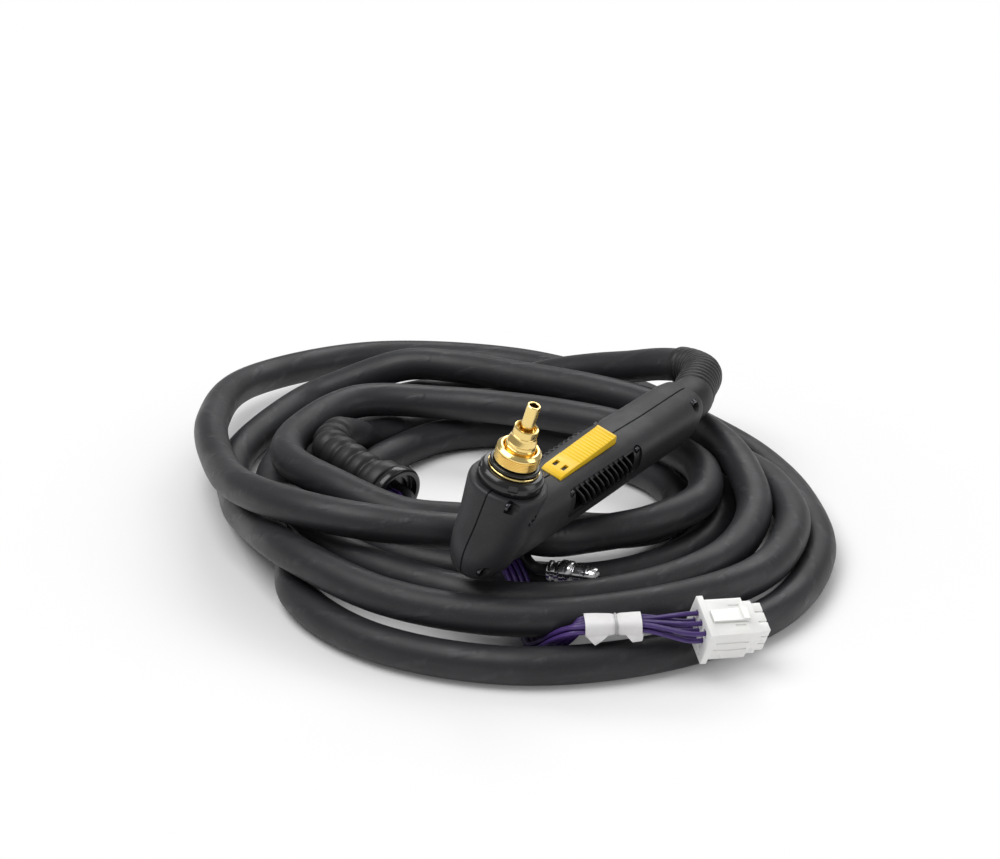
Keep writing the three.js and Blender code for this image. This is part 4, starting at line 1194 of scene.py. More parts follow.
    def openings(self) -> list[bpy.types.Object]:
        """The shapes cut out of both shells: the trigger's slot, the seats, the vents and the screw holes.

        Returns:
            The shapes, in the order of cutting.
        """
        slot, mouth = self.trigger_half + GAP, self.end_x - self.boot_inside - GAP
        along = (self.trigger_x[0] - GAP, self.trigger_x[1] + GAP)
        cuts = [
            block("slot", along, (-slot, slot), (self.switch_top, BEYOND)),
            rod("seat", self.insulator_radius + GAP, (0, 0, self.insulator_foot - GAP), (0, 0, BEYOND), 72),
            rod("mouth", self.boot_radius + GAP, (mouth, 0, 0), (self.end_x + BEYOND, 0, 0), 72),
            *self.screw_hole(*self.side_screw, 0),
        ]
        for side in (-1, 1):
            behind = self.handle_form("behind", self.vent_thick + GAP)
            cuts.append(combined(self.window("window", side, GAP), Cut.REMOVE, behind))
            inner = side * (self.vent_screw_seat - self.vent_screw_length - GAP)
            for x, z in self.vent_screws().values():
                cuts.append(rod("hole", self.shank + GAP, (x, side * BEYOND, z), (x, inner, z), 24))
        for x, z, sunk in self.case_screws.values():
            cuts.extend(self.screw_hole(x, z, self.screw_seat(sunk), self.case_screw_end + GAP))
        return cuts

    def shells(self) -> None:
        """Models both shells from one form: hollowed, bossed, cut, grooved along the seam and parted."""
        shell = self.form("shell_right_moulded", 0.0)
        modified(shell, "REMESH", mode="VOXEL", voxel_size=self.voxel)
        modified(shell, "SMOOTH", factor=0.5, iterations=self.smoothings)
        limit = copied(shell, "limit")
        combined(shell, Cut.REMOVE, self.form("hollow", self.wall))
        combined(shell, Cut.ADD, combined(limit, Cut.KEEP, self.bosses()))
        combined(shell, Cut.REMOVE, *self.openings())
        half, depth = self.groove
        along, height = (-BEYOND, self.end_x + BEYOND), (-BEYOND, BEYOND)
        groove = block("groove", along, (-half, half), height)
        combined(shell, Cut.REMOVE, combined(groove, Cut.REMOVE, self.form("groove_floor", depth)))
        other = copied(shell, "shell_left_moulded")
        for piece, side, node in ((shell, -1, "shell_right"), (other, 1, "shell_left")):
            combined(piece, Cut.KEEP, block("side", along, (side * self.seam, side * BEYOND), height))
            finished(piece, TORCH, SHELL, Slot.SHELL, node, angle_deg=34)

    def vents(self) -> None:
        """Models each vent as a lipped frame with a row of rounded, slanted fins."""
        along, up = self.vent_border
        for side, name in ((-1, "vent_right"), (1, "vent_left")):
            grid = self.window(name + "_grid", side, -self.vent_play)
            combined(grid, Cut.KEEP, self.handle_form("skin", self.vent_sunk))
            combined(grid, Cut.REMOVE, self.handle_form("back", self.vent_thick))
            hole = block(
                "opening", (self.vent_x[0] + along, self.vent_x[1] - along), (0, side * BEYOND),
                (self.vent_z[0] + up, self.vent_z[1] - up),
            )
            modified(hole, "BEVEL", width=self.opening_round, segments=3, affect="EDGES")
            combined(grid, Cut.REMOVE, hole)
            for x, z in self.vent_screws().values():
                outside, seat = (x, side * BEYOND, z), (x, side * self.vent_screw_seat, z)
                bore = rod("bore", self.vent_screw_head + GAP, outside, seat, 32)
                combined(grid, Cut.REMOVE, bore, rod("hole", self.shank + GAP, outside, (x, 0, z), 24))
            combined(grid, Cut.ADD, *self.fins(side))
            finished(grid, TORCH, GRID, Slot.BLACK, name, angle_deg=40)

    def fins(self, side: int) -> list[bpy.types.Object]:
        """The fins of one vent.

        Args:
            side: -1 for the right side, 1 for the left.

        Returns:
            The fins, each a flattened bar that follows the handle's skin.
        """
        low = self.vent_z[0] + self.vent_border[1] - self.fin_ends[0]
        high = self.vent_z[1] - self.fin_ends[1]
        lean = self.fin_slant * (high - low)
        first, last = self.vent_x[0] + self.fin_x, self.vent_x[1] - self.fin_x - lean
        wide, deep = self.fin_half
        turn = np.arange(self.fin_sides) * 2 * np.pi / self.fin_sides
        fins = []
        for top_x in np.linspace(first, last, self.fins_per_vent):
            rings = []
            for t in np.linspace(0, 1, self.fin_rows):
                x, z = top_x + lean * t, high + (low - high) * t
                swell = math.sin(math.pi * min(1.0, self.fin_start + t)) ** 0.5
                depth = self.skin_y(x, z, self.fin_root) + self.fin_proud * swell
                rings.append([(x + wide * math.cos(a), side * (depth + deep * math.sin(a)), z) for a in turn])
            fins.append(skinned("fin", rings))
        return fins

    def screw(self, head: float, length: float) -> bpy.types.Object:
        """A socket-head screw on Z, with the underside of its head at zero.

        Args:
            head: The head's radius.
            length: The shank's length.

        Returns:
            The screw.
        """
        share, point = self.shank_point
        top = self.screw_thick
        body = turned("screw", [
            (0, -length), (self.shank * share, -length), (self.shank, point - length), (self.shank, 0),
            *stepped(head, 0, self.screw_foot), *stepped(head, top, self.screw_dome), (0, top),
        ], 40)
        share, depth = self.socket
        return combined(body, Cut.REMOVE, rod("socket", head * share, (0, 0, top - depth), (0, 0, BEYOND), 6))

    def set_in(self, screw: bpy.types.Object, name: str, x: float, seat: float, z: float) -> None:
        """Puts a screw's head just over its seat, facing outwards, and finishes it.

        Args:
            screw: The screw.
            name: Its node's name.
            x: Its place along the handle.
            seat: Where its head sits, across the handle.
            z: Its place up the handle.
        """
        side = math.copysign(1, seat)
        screw.name = name + "_turned"
        aimed(screw, (x, seat + side * GAP / 2, z), (0, side, 0))
        finished(screw, TORCH, STEEL, Slot.STEEL, name)

    def screws(self) -> None:
        """Models one screw of each kind and places its copies."""
        for name, (x, z, sunk) in self.case_screws.items():
            seat = self.screw_seat(sunk)
            long = self.screw(self.screw_head, self.case_screw_end - seat + GAP / 2)
            self.set_in(long, name, x, seat, z)
        x, z, seat = self.side_screw
        self.set_in(self.screw(self.screw_head, self.side_screw_length), "side_screw", x, seat, z)
        small = self.screw(self.vent_screw_head, self.vent_screw_length)
        for side, word in ((-1, "right"), (1, "left")):
            for end, (x, z) in self.vent_screws().items():
                made = copied(small, "small_screw")
                self.set_in(made, f"vent_screw_{word}_{end}", x, side * self.vent_screw_seat, z)
        bpy.data.objects.remove(small, do_unlink=True)

    def build(self) -> None:
        """Builds the handle's pieces."""
        self.shells()
        self.vents()
        self.screws()


# ---------------------------------------------------------------- head
@dataclass
class Head:
    """The stack on the head, with heights along the tip axis.

    The collar is its radius at its foot and top, and its height. The washer, the seal and the ring are a
    radius and a height, the ring with its chamfer. The sleeve and the tube are a radius and the height of
    their top. Steps are corners of a profile, each so far in from a radius and up from a height.
    """

    seat: float = 31.5
    bore: float = 11.1
    bore_lip: Steps = ((-0.5, 0.0), (0.0, -0.5))
    collar: Point = (16.3, 14.6, 7.0)
    collar_foot: Steps = ((0.3, 0.0), (0.0, 0.4))
    collar_shoulder: Steps = ((0.0, -2.6), (0.25, -2.2))
    collar_lip: Steps = ((-0.2, -0.25), (0.3, 0.0))
    notches: int = 4
    notch: Point = (5.0, 4.0, 0.6)
    notch_deg: float = 35.0
    washer: Pair = (12.9, 1.1)
    washer_ease: float = 0.2
    seal: Pair = (12.6, 1.9)
    seal_steps: int = 9
    ring: Point = (11.1, 8.2, 1.6)
    ring_foot: Steps = ((0.5, 0.0), (0.1, 0.4))
    ring_land: Steps = ((0.0, -0.7), (0.0, 0.0))
    ring_lip: Steps = ((-0.5, 0.0), (-0.2, -0.35), (0.0, -0.8))
    threads: int = 6
    thread_ends: Pair = (0.7, 0.9)
    thread_form: Pair = (0.35, 0.68)
    thread_depth: float = 0.55
    flare: float = 7.8
    flare_bands: Steps = (
        (0.0, -1.6), (0.2, -1.2), (0.35, 1.0), (0.7, 1.25), (0.7, 1.55), (0.45, 1.8), (0.6, 3.0),
        (0.95, 3.2), (0.95, 3.5), (0.75, 3.7),
    )
    sleeve: Pair = (6.0, 62.5)
    sleeve_neck: Steps = ((-0.35, 5.8), (0.0, 6.6), (0.0, 7.2), (0.25, 7.4), (0.25, 7.65), (0.0, 7.85))
    sleeve_lip: Steps = ((0.0, -0.5), (0.2, -0.1), (0.6, 0.0), (1.1, -0.2), (1.3, -0.7), (1.3, -2.4))
    sleeve_floor: Steps = ((-0.3, -2.7), (0.0, -3.0))
    tube: Pair = (3.25, 75.0)
    tube_bore: float = 2.25
    tube_rim: Steps = ((0.0, -0.3), (0.3, 0.0))
    tube_lip: Steps = ((-0.25, 0.0), (0.0, -0.3))

    def build(self) -> None:
        """Builds the stack from the collar to the gas tube."""
        z = self.seat + GAP
        self.collar_piece(z)
        z += self.collar[-1] + GAP
        self.washer_piece(z)
        z += self.washer[-1] + GAP
        self.seal_piece(z)
        z += self.seal[-1] + GAP
        self.ring_piece(z)
        self.sleeve_piece(z)
        self.tube_piece(z)
        dressed("head_insulator", BLACK)

    def collar_piece(self, foot: float) -> None:
        """The black collar, notched round its shoulder.

        Args:
            foot: The height that it stands on.
        """
        base, tip, high = self.collar
        top = foot + high
        profile = hollow(
            self.bore, foot, *stepped(base, foot, self.collar_foot),
            *stepped(base, top, self.collar_shoulder), *stepped(tip, top, self.collar_lip),
            *stepped(self.bore, top, self.bore_lip),
        )
        body = turned("collar", profile, 120)
        wide, high, ease = self.notch
        for k in range(self.notches):
            notch = block("notch", (-wide / 2, wide / 2), (base - 1, base + 3), (top - high, top + 1))
            modified(notch, "BEVEL", width=ease, segments=2)
            angle = math.radians(360 / self.notches * k + self.notch_deg)
            notch.data.transform(Matrix.Rotation(angle, 4, "Z"))
            combined(body, Cut.REMOVE, notch)
        finished(body, TORCH, BLACK, Slot.BLACK, "head_collar")

    def washer_piece(self, foot: float) -> None:
        """The thin brass washer with eased edges.

        Args:
            foot: The height that it stands on.
        """
        radius, high = self.washer
        ease, top = self.washer_ease, foot + high
        rim = ((radius - ease, foot), (radius, foot + ease), (radius, top - ease), (radius - ease, top))
        profile = hollow(self.bore, foot, *rim, (self.bore, top))
        finished(turned("washer", profile, 120), TORCH, BRASS, Slot.BRASS, "head_washer")

    def seal_piece(self, foot: float) -> None:
        """The round-edged rubber seal.

        Args:
            foot: The height that it stands on.
        """
        radius, high = self.seal
        half = high / 2
        angle = np.linspace(-math.pi / 2, math.pi / 2, self.seal_steps)
        edge = [(radius - half + half * math.cos(a), foot + half + half * math.sin(a)) for a in angle]
        profile = hollow(self.bore, foot, *edge, (self.bore, foot + high))
        finished(turned("seal", profile, 120), TORCH, BLACK, Slot.BOOT, "head_seal")

    def ring_piece(self, foot: float) -> None:
        """The threaded ring, chamfered at its top and hollow down to a step.

        Args:
            foot: The height that it stands on.
        """
        radius, high, chamfer = self.ring
        top = foot + high
        bore = self.flare + GAP
        pitch = (high - chamfer - sum(self.thread_ends)) / self.threads
        crest, root = self.thread_form
        thread = []
        for k in range(self.threads):
            z = foot + self.thread_ends[0] + pitch * k
            thread += [(radius, z), (radius, z + pitch * crest)]
            thread.append((radius - self.thread_depth, z + pitch * root))
        profile = hollow(
            bore, foot, *stepped(radius, foot, self.ring_foot), *thread,
            *stepped(radius, top - chamfer, self.ring_land),
            *stepped(radius, top, ((chamfer * 0.75, -0.2), (chamfer, 0.0))),
            *stepped(bore, top, self.ring_lip),
        )
        finished(turned("ring", profile, 144), TORCH, BRASS, Slot.BRASS, "head_ring", angle_deg=24)

    def sleeve_piece(self, foot: float) -> None:
        """The electrode sleeve: a flare, stepped bands with grooves, and a lipped open top.

        Args:
            foot: The height that it stands on.
        """
        shoulder = foot + self.ring[1]
        bore = self.tube[0] + GAP
        radius, top = self.sleeve
        profile = hollow(
            bore, foot, (self.flare, foot), *stepped(self.flare, shoulder, self.flare_bands),
            *stepped(radius, shoulder, self.sleeve_neck), *stepped(radius, top, self.sleeve_lip),
            *stepped(bore, top, self.sleeve_floor),
        )
        finished(turned("sleeve", profile, 120), TORCH, BRASS, Slot.BRASS, "electrode_sleeve", angle_deg=24)

    def tube_piece(self, foot: float) -> None:
        """The plain gas tube.

        Args:
            foot: The height that it stands on.
        """
        radius, top = self.tube
        profile = hollow(
            self.tube_bore, foot, (radius, foot), *stepped(radius, top, self.tube_rim),
            *stepped(self.tube_bore, top, self.tube_lip),
        )
        finished(turned("tube", profile, 72), TORCH, BRASS, Slot.BRASS, "gas_tube")


# ---------------------------------------------------------------- trigger
@dataclass
class Trigger:
    """The hinged lever with its windows and ribs, its pin and the switch under it.

    The nose and the tail are corners, each so far along from an end of the lever and up from its top there.
    A rib's corners are shares of its pitch and its depth.
    """

    front: float = 47.0
    length: float = 54.0
    half: float = 5.9
    foot: float = 9.2
    thick: float = 7.0
    rise: float = 3.78
    nose: Steps = ((0.0, -1.6), (0.8, -0.6), (3.0, 0.0))
    tail: Steps = ((-3.3, -0.1), (-1.9, 0.0), (-1.4, -0.5))
    tail_drop: float = 1.0
    ribs: int = 13
    ribbed: Pair = (16.2, 50.6)
    rib_form: Steps = ((0.0, 0.0), (0.22, 0.8), (0.5, 1.0), (0.82, 0.35))
    rib_depth: float = 0.3
    edge: float = 0.28
    window: Pair = (5.0, 2.2)
    window_x: float = 5.4
    window_share: float = 0.44
    # Heights, from the lever's top, of the dark block that paints the shade inside each window.
    window_depth: float = 2.8
    painted_shade_heights: Pair = (-3.0, -0.5)
    pin: Point = (52.0, 11.8, 1.3)

    def outline(self) -> list[Pair]:
        """The lever's side view: a sloped nose, a plain land, and a row of low ribs.

        Returns:
            Its corners along and up the handle.
        """
        top, rear = self.foot + self.thick, self.front + self.length
        crest = top + self.rise
        first, last = self.ribbed
        pitch = (last - first) / self.ribs
        line = [(self.front, self.foot), *((self.front + x, top + z) for x, z in self.nose)]
        for k in range(self.ribs):
            x = first + pitch * k
            z = top + self.rise * x / self.length
            for along, down in self.rib_form:
                line.append((self.front + x + pitch * along, z - self.rib_depth * down))
        line += [(rear + x, crest + z) for x, z in self.tail]
        return [*line, (rear, top - self.tail_drop), (rear, self.foot)]

    def windows(self, lever: bpy.types.Object) -> None:
        """Cuts the two windows and lays a dark block low in each, as painted shade for their shadowed inside.

        Args:
            lever: The lever.
        """
        top, x = self.foot + self.thick, self.front + self.window_x
        long, wide = self.window
        for side, name in ((-1, "trigger_painted_shade_right"), (1, "trigger_painted_shade_left")):
            y = side * self.half * self.window_share
            along, across = (x, x + long), (y - wide / 2, y + wide / 2)
            combined(lever, Cut.REMOVE, block("opening", along, across, (top - self.window_depth, BEYOND)))
            # A dark block low in the window paints the shade that lies inside it.
            floor = block(name, along, across, tuple(top + z for z in self.painted_shade_heights))
            finished(floor, TORCH, MOULDED, Slot.BLACK, body=Body.TRIGGER)

    def build(self) -> None:
        """Builds the lever and dresses the parts inside."""
        line = self.outline()
        mesh = bpy.data.meshes.new("lever")
        mesh.from_pydata([(x, -self.half, z) for x, z in line], [], [tuple(range(len(line)))])
        lever = link("lever", mesh)
        with editing(lever):
            bpy.ops.mesh.extrude_region_move(TRANSFORM_OT_translate={"value": (0, 2 * self.half, 0)})
            bpy.ops.mesh.select_all(action="SELECT")
            bpy.ops.mesh.normals_make_consistent(inside=False)
        eased(lever, self.edge, 2, 40)
        self.windows(lever)
        x, z, radius = self.pin
        combined(lever, Cut.REMOVE, rod("pin_bore", radius, (x, -BEYOND, z), (x, BEYOND, z)))
        finished(lever, TORCH, YELLOW, Slot.YELLOW, "trigger_lever", body=Body.TRIGGER, angle_deg=30)
        inside = {
            "trigger_pin": STEEL, "switch_body": BLACK, "switch_plunger": YELLOW, "feed_tube": BRASS,
            "pilot_wire": BLACK, "switch_wire_right": INNER_WIRE, "switch_wire_left": INNER_WIRE,
        }
        for node, finish in inside.items():
            dressed(node, finish)


# ---------------------------------------------------------------- lead and gland
@dataclass
class Lead:
    """The lead with its handle boot and the machine-end gland, drawn from the coil's centre.

    A turn's stops are a bearing in degrees, a distance from the coil's centre and a height. Steps are corners
    of a profile, each so far in from a radius and up from a height.
    """

    radius: float = 9.4
    lead_step: float = 4.0
    lead_start: float = 0.04
    handle_end: float = 190.0
    boot_inside: float = 6.0
    boot_straight: float = 10.0
    boot_radii: Pair = (12.2, 10.8)
    boot_ribs: int = 14
    boot_ribbed: Pair = (0.2, 0.97)
    gland_radii: Pair = (10.4, 11.8)
    gland_ribs: int = 6
    gland_ribbed: Pair = (0.06, 0.98)
    rib_depths: Pair = (1.1, 1.7)
    rib_narrowness: float = 2.2
    ribbed_step: float = 0.35
    boot_points: tuple[Point, ...] = ((99, 44, 59.5), (104, 66, 57.5), (102, 84, 54), (95, 98, 51))
    run_points: tuple[Point, ...] = ((83, 114, 45.5), (67, 129, 38), (48, 142, 31.5), (25, 153, 24))
    turns: tuple[tuple[Point, ...], ...] = (
        ((90, 161, 15), (101, 163, 10), (112.5, 162, 10), (135, 158, 10), (157.5, 142, 10), (180, 131, 15),
         (202.5, 124, 30), (225, 129, 27), (247.5, 136, 26), (270, 147, 25), (292.5, 148, 25),
         (315, 145, 26), (337.5, 134, 28), (360, 121, 32), (382.5, 116, 32)),
        ((45, 117, 31), (67.5, 119, 31), (90, 134, 30), (101, 150, 30), (112.5, 165, 30), (124, 177, 20),
         (135, 182, 12), (157.5, 168, 10), (180, 150, 12), (202.5, 146, 23), (225, 154, 31),
         (247.5, 162, 28), (270, 167, 26), (292.5, 168, 26), (315, 168, 25), (337.5, 155, 24),
         (360, 138, 21), (382.5, 128, 15)),
        ((45, 127, 10), (67.5, 132, 10), (90, 140, 10), (112.5, 141, 10), (135, 136, 10), (157.5, 120, 10),
         (180, 109.5, 10), (202.5, 121, 10), (225, 155, 10), (247.5, 176, 10), (270, 186, 10),
         (292.5, 186, 10), (315, 182, 10), (337.5, 169, 10), (360, 154, 10), (382.5, 148, 10)),
        ((45, 151, 10), (67.5, 174, 10), (90, 206, 10), (112.5, 228, 12), (135, 220, 18), (157.5, 183, 29),
         (180, 158, 33), (202.5, 150, 44), (225, 138, 49), (247.5, 117, 45), (270, 96, 36.4),
         (281, 92.5, 31.8), (292.5, 90, 30), (315, 97, 30), (337.5, 104, 30), (360, 100, 30),
         (382.5, 88, 30)),
        ((45, 82, 30), (67.5, 79, 30), (90, 84, 30), (112.5, 101, 30), (135, 125, 33), (157.5, 128, 32),
         (180, 121, 36), (202.5, 101, 37), (225, 84, 31), (247.5, 65.5, 27.5), (270, 58, 23),
         (292.5, 60, 21), (315, 71, 17), (337.5, 82, 12), (360, 88, 10), (382.5, 85, 10)),
        ((45, 81, 10), (67.5, 86, 10), (90, 99, 10), (112.5, 101, 10), (135, 95, 10), (157.5, 93, 10),
         (180, 89.5, 10), (202.5, 90, 10), (225, 88, 10), (247.5, 86, 10), (270, 91, 10),
         (292.5, 102, 10), (315, 107, 10), (337.5, 110, 10), (360, 112, 10), (382.5, 108, 10)),
        ((45, 104, 10), (67.5, 109, 10), (90, 119, 10), (112.5, 122, 10), (135, 115, 14), (146, 108, 24),
         (157.5, 104, 33)),
    )
    gland_points: tuple[Point, ...] = ((-99.5, 19, 34.5), (-89.5, 3, 33), (-73.8, -13.2, 28.3))
    collar: Pair = (14.4, 9.0)
    collar_foot: Steps = ((1.0, 0.0), (-0.6, 0.3))
    collar_side: Steps = ((0.3, 1.2), (0.0, 1.8))
    collar_top: Steps = ((0.0, -1.3), (0.3, -0.7), (0.8, -0.2), (1.3, 0.0))
    neck: Pair = (11.8, 2.0)
    neck_top: Steps = ((0.0, -0.3), (-0.3, 0.0))
    flange: Pair = (16.6, 5.5)
    flange_foot: Steps = ((0.7, 0.0), (0.2, 0.25), (0.0, 0.8))
    flange_top: Steps = ((0.0, -1.4), (0.25, -0.7), (0.9, -0.15), (1.6, 0.0))
    cup: float = 13.2
    cup_lip: Steps = ((-0.8, 0.0), (-0.25, -0.2), (0.0, -0.8))
    cup_foot: Steps = ((0.0, 1.9), (0.4, 1.5))
    cup_ledge: float = 1.5
    cup_floor: float = 10.8
    fine: int = 16

    def stops(self) -> list[Sequence[float]]:
        """All the route's stops, from inside the handle to the gland.

        Returns:
            The stops' places.
        """
        axis = Matrix.Rotation(math.radians(LAY_DEG), 3, "Z") @ Vector((1, 0, 0))
        straight = (-self.boot_inside, 0, self.boot_straight)
        start = [HEAD_ON_COIL + axis * (self.handle_end + x) for x in straight]
        coil = []
        for turn in self.turns:
            for bearing, distance, height in turn:
                angle = math.radians(bearing)
                coil.append((distance * math.cos(angle), distance * math.sin(angle), height))
        return [*start, *self.boot_points, *self.run_points, *coil, *self.gland_points]

    def gland_place(self) -> tuple[Vector, Vector, Callable[[float, float, float], Vector]]:
        """Where the gland starts, the way its cup faces, and a place in its own directions.

        Returns:
            The start, the direction, and a function of level, upright and depth.
        """
        last, before = Vector(self.gland_points[-1]), Vector(self.gland_points[-2])
        along = (last - before).normalized()
        level = Vector((0, 0, 1)).cross(along).normalized()
        upright = along.cross(level)
        start = last + along * GAP
        return start, along, lambda u, v, w: start + level * u + upright * v + along * w

    def ribs(self, radii: Pair, count: int, ends: Pair, depth: float) -> Callable[[float], float]:
        """A radius that dips between ribs.

        Args:
            radii: The plain radius at each end.
            count: How many ribs.
            ends: The two shares of the boot's length that the ribs lie between.
            depth: How deep it dips.

        Returns:
            The radius at a share of the length.
        """
        first, last = ends

        def radius(share: float) -> float:
            """The radius at a share of the length."""
            plain = radii[0] + (radii[1] - radii[0]) * share
            if not first < share < last:
                return plain
            wave = 0.5 - 0.5 * math.cos(2 * math.pi * count * (share - first) / (last - first))
            return plain - depth * wave**self.rib_narrowness

        return radius

    def build(self) -> list[bpy.types.Object]:
        """Builds the lead, its boots and the gland.

        Returns:
            The flange, on which the hose and the wires end.
        """
        stops = self.stops()
        curve = smooth_route(stops, self.fine)
        boot_end = (2 + len(self.boot_points)) * self.fine
        gland_start = (len(stops) - 1 - len(self.gland_points)) * self.fine
        line = evened(curve[boot_end : gland_start + 1], self.lead_step)
        line[0] += (line[1] - line[0]) * self.lead_start

        boot_line = evened(curve[: boot_end + 1], self.ribbed_step)
        size = self.ribs(self.boot_radii, self.boot_ribs, self.boot_ribbed, self.rib_depths[0])
        boot = tube("lead_boot_ribbed", boot_line, size, 48)
        finished(boot, COIL, MOULDED, Slot.BOOT, "lead_boot", angle_deg=50)
        lead = tube("lead_sheath", line, lambda share: self.radius, 32)
        finished(lead, COIL, SHEATH, Slot.SHEATH, "torch_lead", angle_deg=60)
        gland_line = evened(curve[gland_start:], self.ribbed_step)
        size = self.ribs(self.gland_radii, self.gland_ribs, self.gland_ribbed, self.rib_depths[1])
        gland = tube("gland_boot_ribbed", gland_line, size, 48)
        finished(gland, COIL, MOULDED, Slot.BOOT, "gland_boot", angle_deg=50)

        ends = self.gland_ends()
        return ends

    def gland_ends(self) -> list[bpy.types.Object]:
        """The gland's collar and its cupped flange.

        Returns:
            The two pieces.
        """
        start, along, _ = self.gland_place()
        radius, long = self.collar
        collar = turned("gland_collar_turned", [
            (0, 0), *stepped(self.gland_radii[1], 0, self.collar_foot), *stepped(radius, 0, self.collar_side),
            *stepped(radius, long, self.collar_top), (0, long),
        ], 96)
        foot = long + GAP
        neck, edge = self.neck[0], self.flange[0]
        floor = foot + self.neck[1]
        top = floor + self.flange[1]
        well = neck - self.cup_ledge
        flange = turned("gland_flange_turned", [
            (0, foot), (neck, foot), *stepped(neck, floor, self.neck_top),
            *stepped(edge, floor, self.flange_foot), *stepped(edge, top, self.flange_top),
            *stepped(self.cup, top, self.cup_lip), *stepped(self.cup, floor, self.cup_foot),
            (well, floor + self.cup_ledge), (well, self.cup_floor), (0, self.cup_floor),
        ], 96)
        finished(aimed(collar, start, along), COIL, MOULDED, Slot.BOOT, "gland_collar")
        finished(aimed(flange, start, along), COIL, BLACK, Slot.BLACK, "gland_flange")
        return [collar, flange]


# ---------------------------------------------------------------- gas tail
@dataclass
class GasTail:
    """The thin gas hose and its plated fitting."""

    hose_radius: float = 3.0
    in_cup: float = 6.0
    points: tuple[Point, ...] = (
        (-52.5, -35.5, 22), (-41.5, -44.5, 13), (-28, -53, 9), (-14, -62, 10.5), (-5, -72, 15.5),
        (0.5, -82, 21.5), (4, -92, 22.8), (7, -100.5, 22.4), (10.5, -105.8, 22.4), (16, -107.8, 22.4),
    )
    ferrule: Pair = (5.4, 6.0)
    ferrule_form: Steps = (
        (0.8, 0.0), (0.2, 0.3), (0.0, 0.8), (0.0, 2.0), (0.7, 2.5), (0.8, 3.8), (0.1, 4.3), (0.0, 4.6),
    )
    ferrule_end: Steps = ((0.0, -0.5), (0.4, 0.0))
    nut: Pair = (6.6, 7.0)
    nut_form: Steps = ((1.2, 0.0), (0.5, 0.25), (0.0, 0.9), (0.0, 3.0), (0.6, 3.3), (0.6, 3.9), (0.0, 4.2))
    nut_end: Steps = ((0.0, -1.0), (0.4, -0.3), (1.1, 0.0))
    nut_play: float = 0.05
    barrel: float = 6.0
    nose: float = 5.0
    spindle: float = 3.8
    nose_shoulder: Steps = ((0.2, 0.0), (0.0, 0.3))
    nose_grooves: Steps = (
        (0.0, -2.4), (0.9, -2.0), (0.9, -1.0), (0.1, -0.7), (0.0, -0.4), (0.0, 0.6), (0.8, 0.9), (0.8, 1.7),
        (0.0, 2.0),
    )
    nose_tip: Steps = ((0.0, -0.8), (0.3, -0.2), (0.7, 0.0))
    bore: float = 2.0
    bore_mouth: Steps = ((-1.2, 0.0), (-0.9, -0.9), (0.0, -1.4))
    bore_floor: float = 2.0
    length: float = 26.0

    def build(self, lead: Lead, gland: list[bpy.types.Object]) -> None:
        """Builds the hose and the fitting.

        Args:
            lead: The lead that carries the gland.
            gland: The gland's pieces. Not used.
        """
        _, _, place = lead.gland_place()
        starts = [place(self.in_cup, 0, lead.cup_floor + GAP), place(self.in_cup, 0, lead.cup_floor + 8)]
        line = evened(smooth_route([*starts, *self.points], 12), 1.5)
        hose = tube("gas_hose_tube", line, lambda share: self.hose_radius, 24)
        finished(hose, COIL, SHEATH, Slot.SHEATH, "gas_hose", angle_deg=60)
        start = Vector(self.points[-1])
        along = (start - Vector(self.points[-2])).normalized()
        way = (COIL.to_3x3() @ along).normalized()
        turn = Vector((0, 0, 1)).rotation_difference(way).to_euler()
        chrome = TurnedFinish(
            "Plated fitting", (0.84, 0.84, 0.86), (0.92, 0.92, 0.94), (0.17, 0.11),
            drift_scale=120.0, metallic=1.0, bump=0.000001,
            axis_at=tuple(COIL @ start), axis_turn=tuple(turn), marks=12000.0,
        )
        for piece, node, body in self.fitting():
            aimed(piece, start, along)
            finished(piece, COIL, chrome, Slot.CHROME, node, body=body, angle_deg=30)

    def fitting(self) -> list[tuple[bpy.types.Object, str, Body]]:
        """The ferrule, the loose nut and the nose with its grooves.

        Returns:
            Each piece with its node and body.
        """
        radius, long = self.ferrule
        foot = GAP
        end = foot + long
        ferrule = turned("ferrule_turned", [
            (0, foot), *stepped(radius, foot, self.ferrule_form),
            *stepped(radius, end, self.ferrule_end), (0, end),
        ], 72)

        radius, long = self.nut
        foot = end + GAP
        end = foot + long
        inner = self.spindle + self.nut_play
        nut = turned("nut_turned", hollow(
            inner, foot, *stepped(radius, foot, self.nut_form), *stepped(radius, end, self.nut_end),
            (inner, end),
        ), 96)

        shoulder = end + GAP
        groove = shoulder + self.barrel + GAP
        top = self.length
        floor = foot + self.bore_floor
        nose = turned("nose_turned", [
            (0, foot), (self.spindle, foot), (self.spindle, shoulder),
            *stepped(self.nose, shoulder, self.nose_shoulder), *stepped(self.nose, groove, self.nose_grooves),
            *stepped(self.nose, top, self.nose_tip), *stepped(self.bore, top, self.bore_mouth),
            (self.bore, floor), (0, floor),
        ], 96)
        return [
            (ferrule, "fitting_ferrule", Body.TORCH),
            (nut, "fitting_nut", Body.NUT),
            (nose, "fitting_nose", Body.TORCH),
        ]


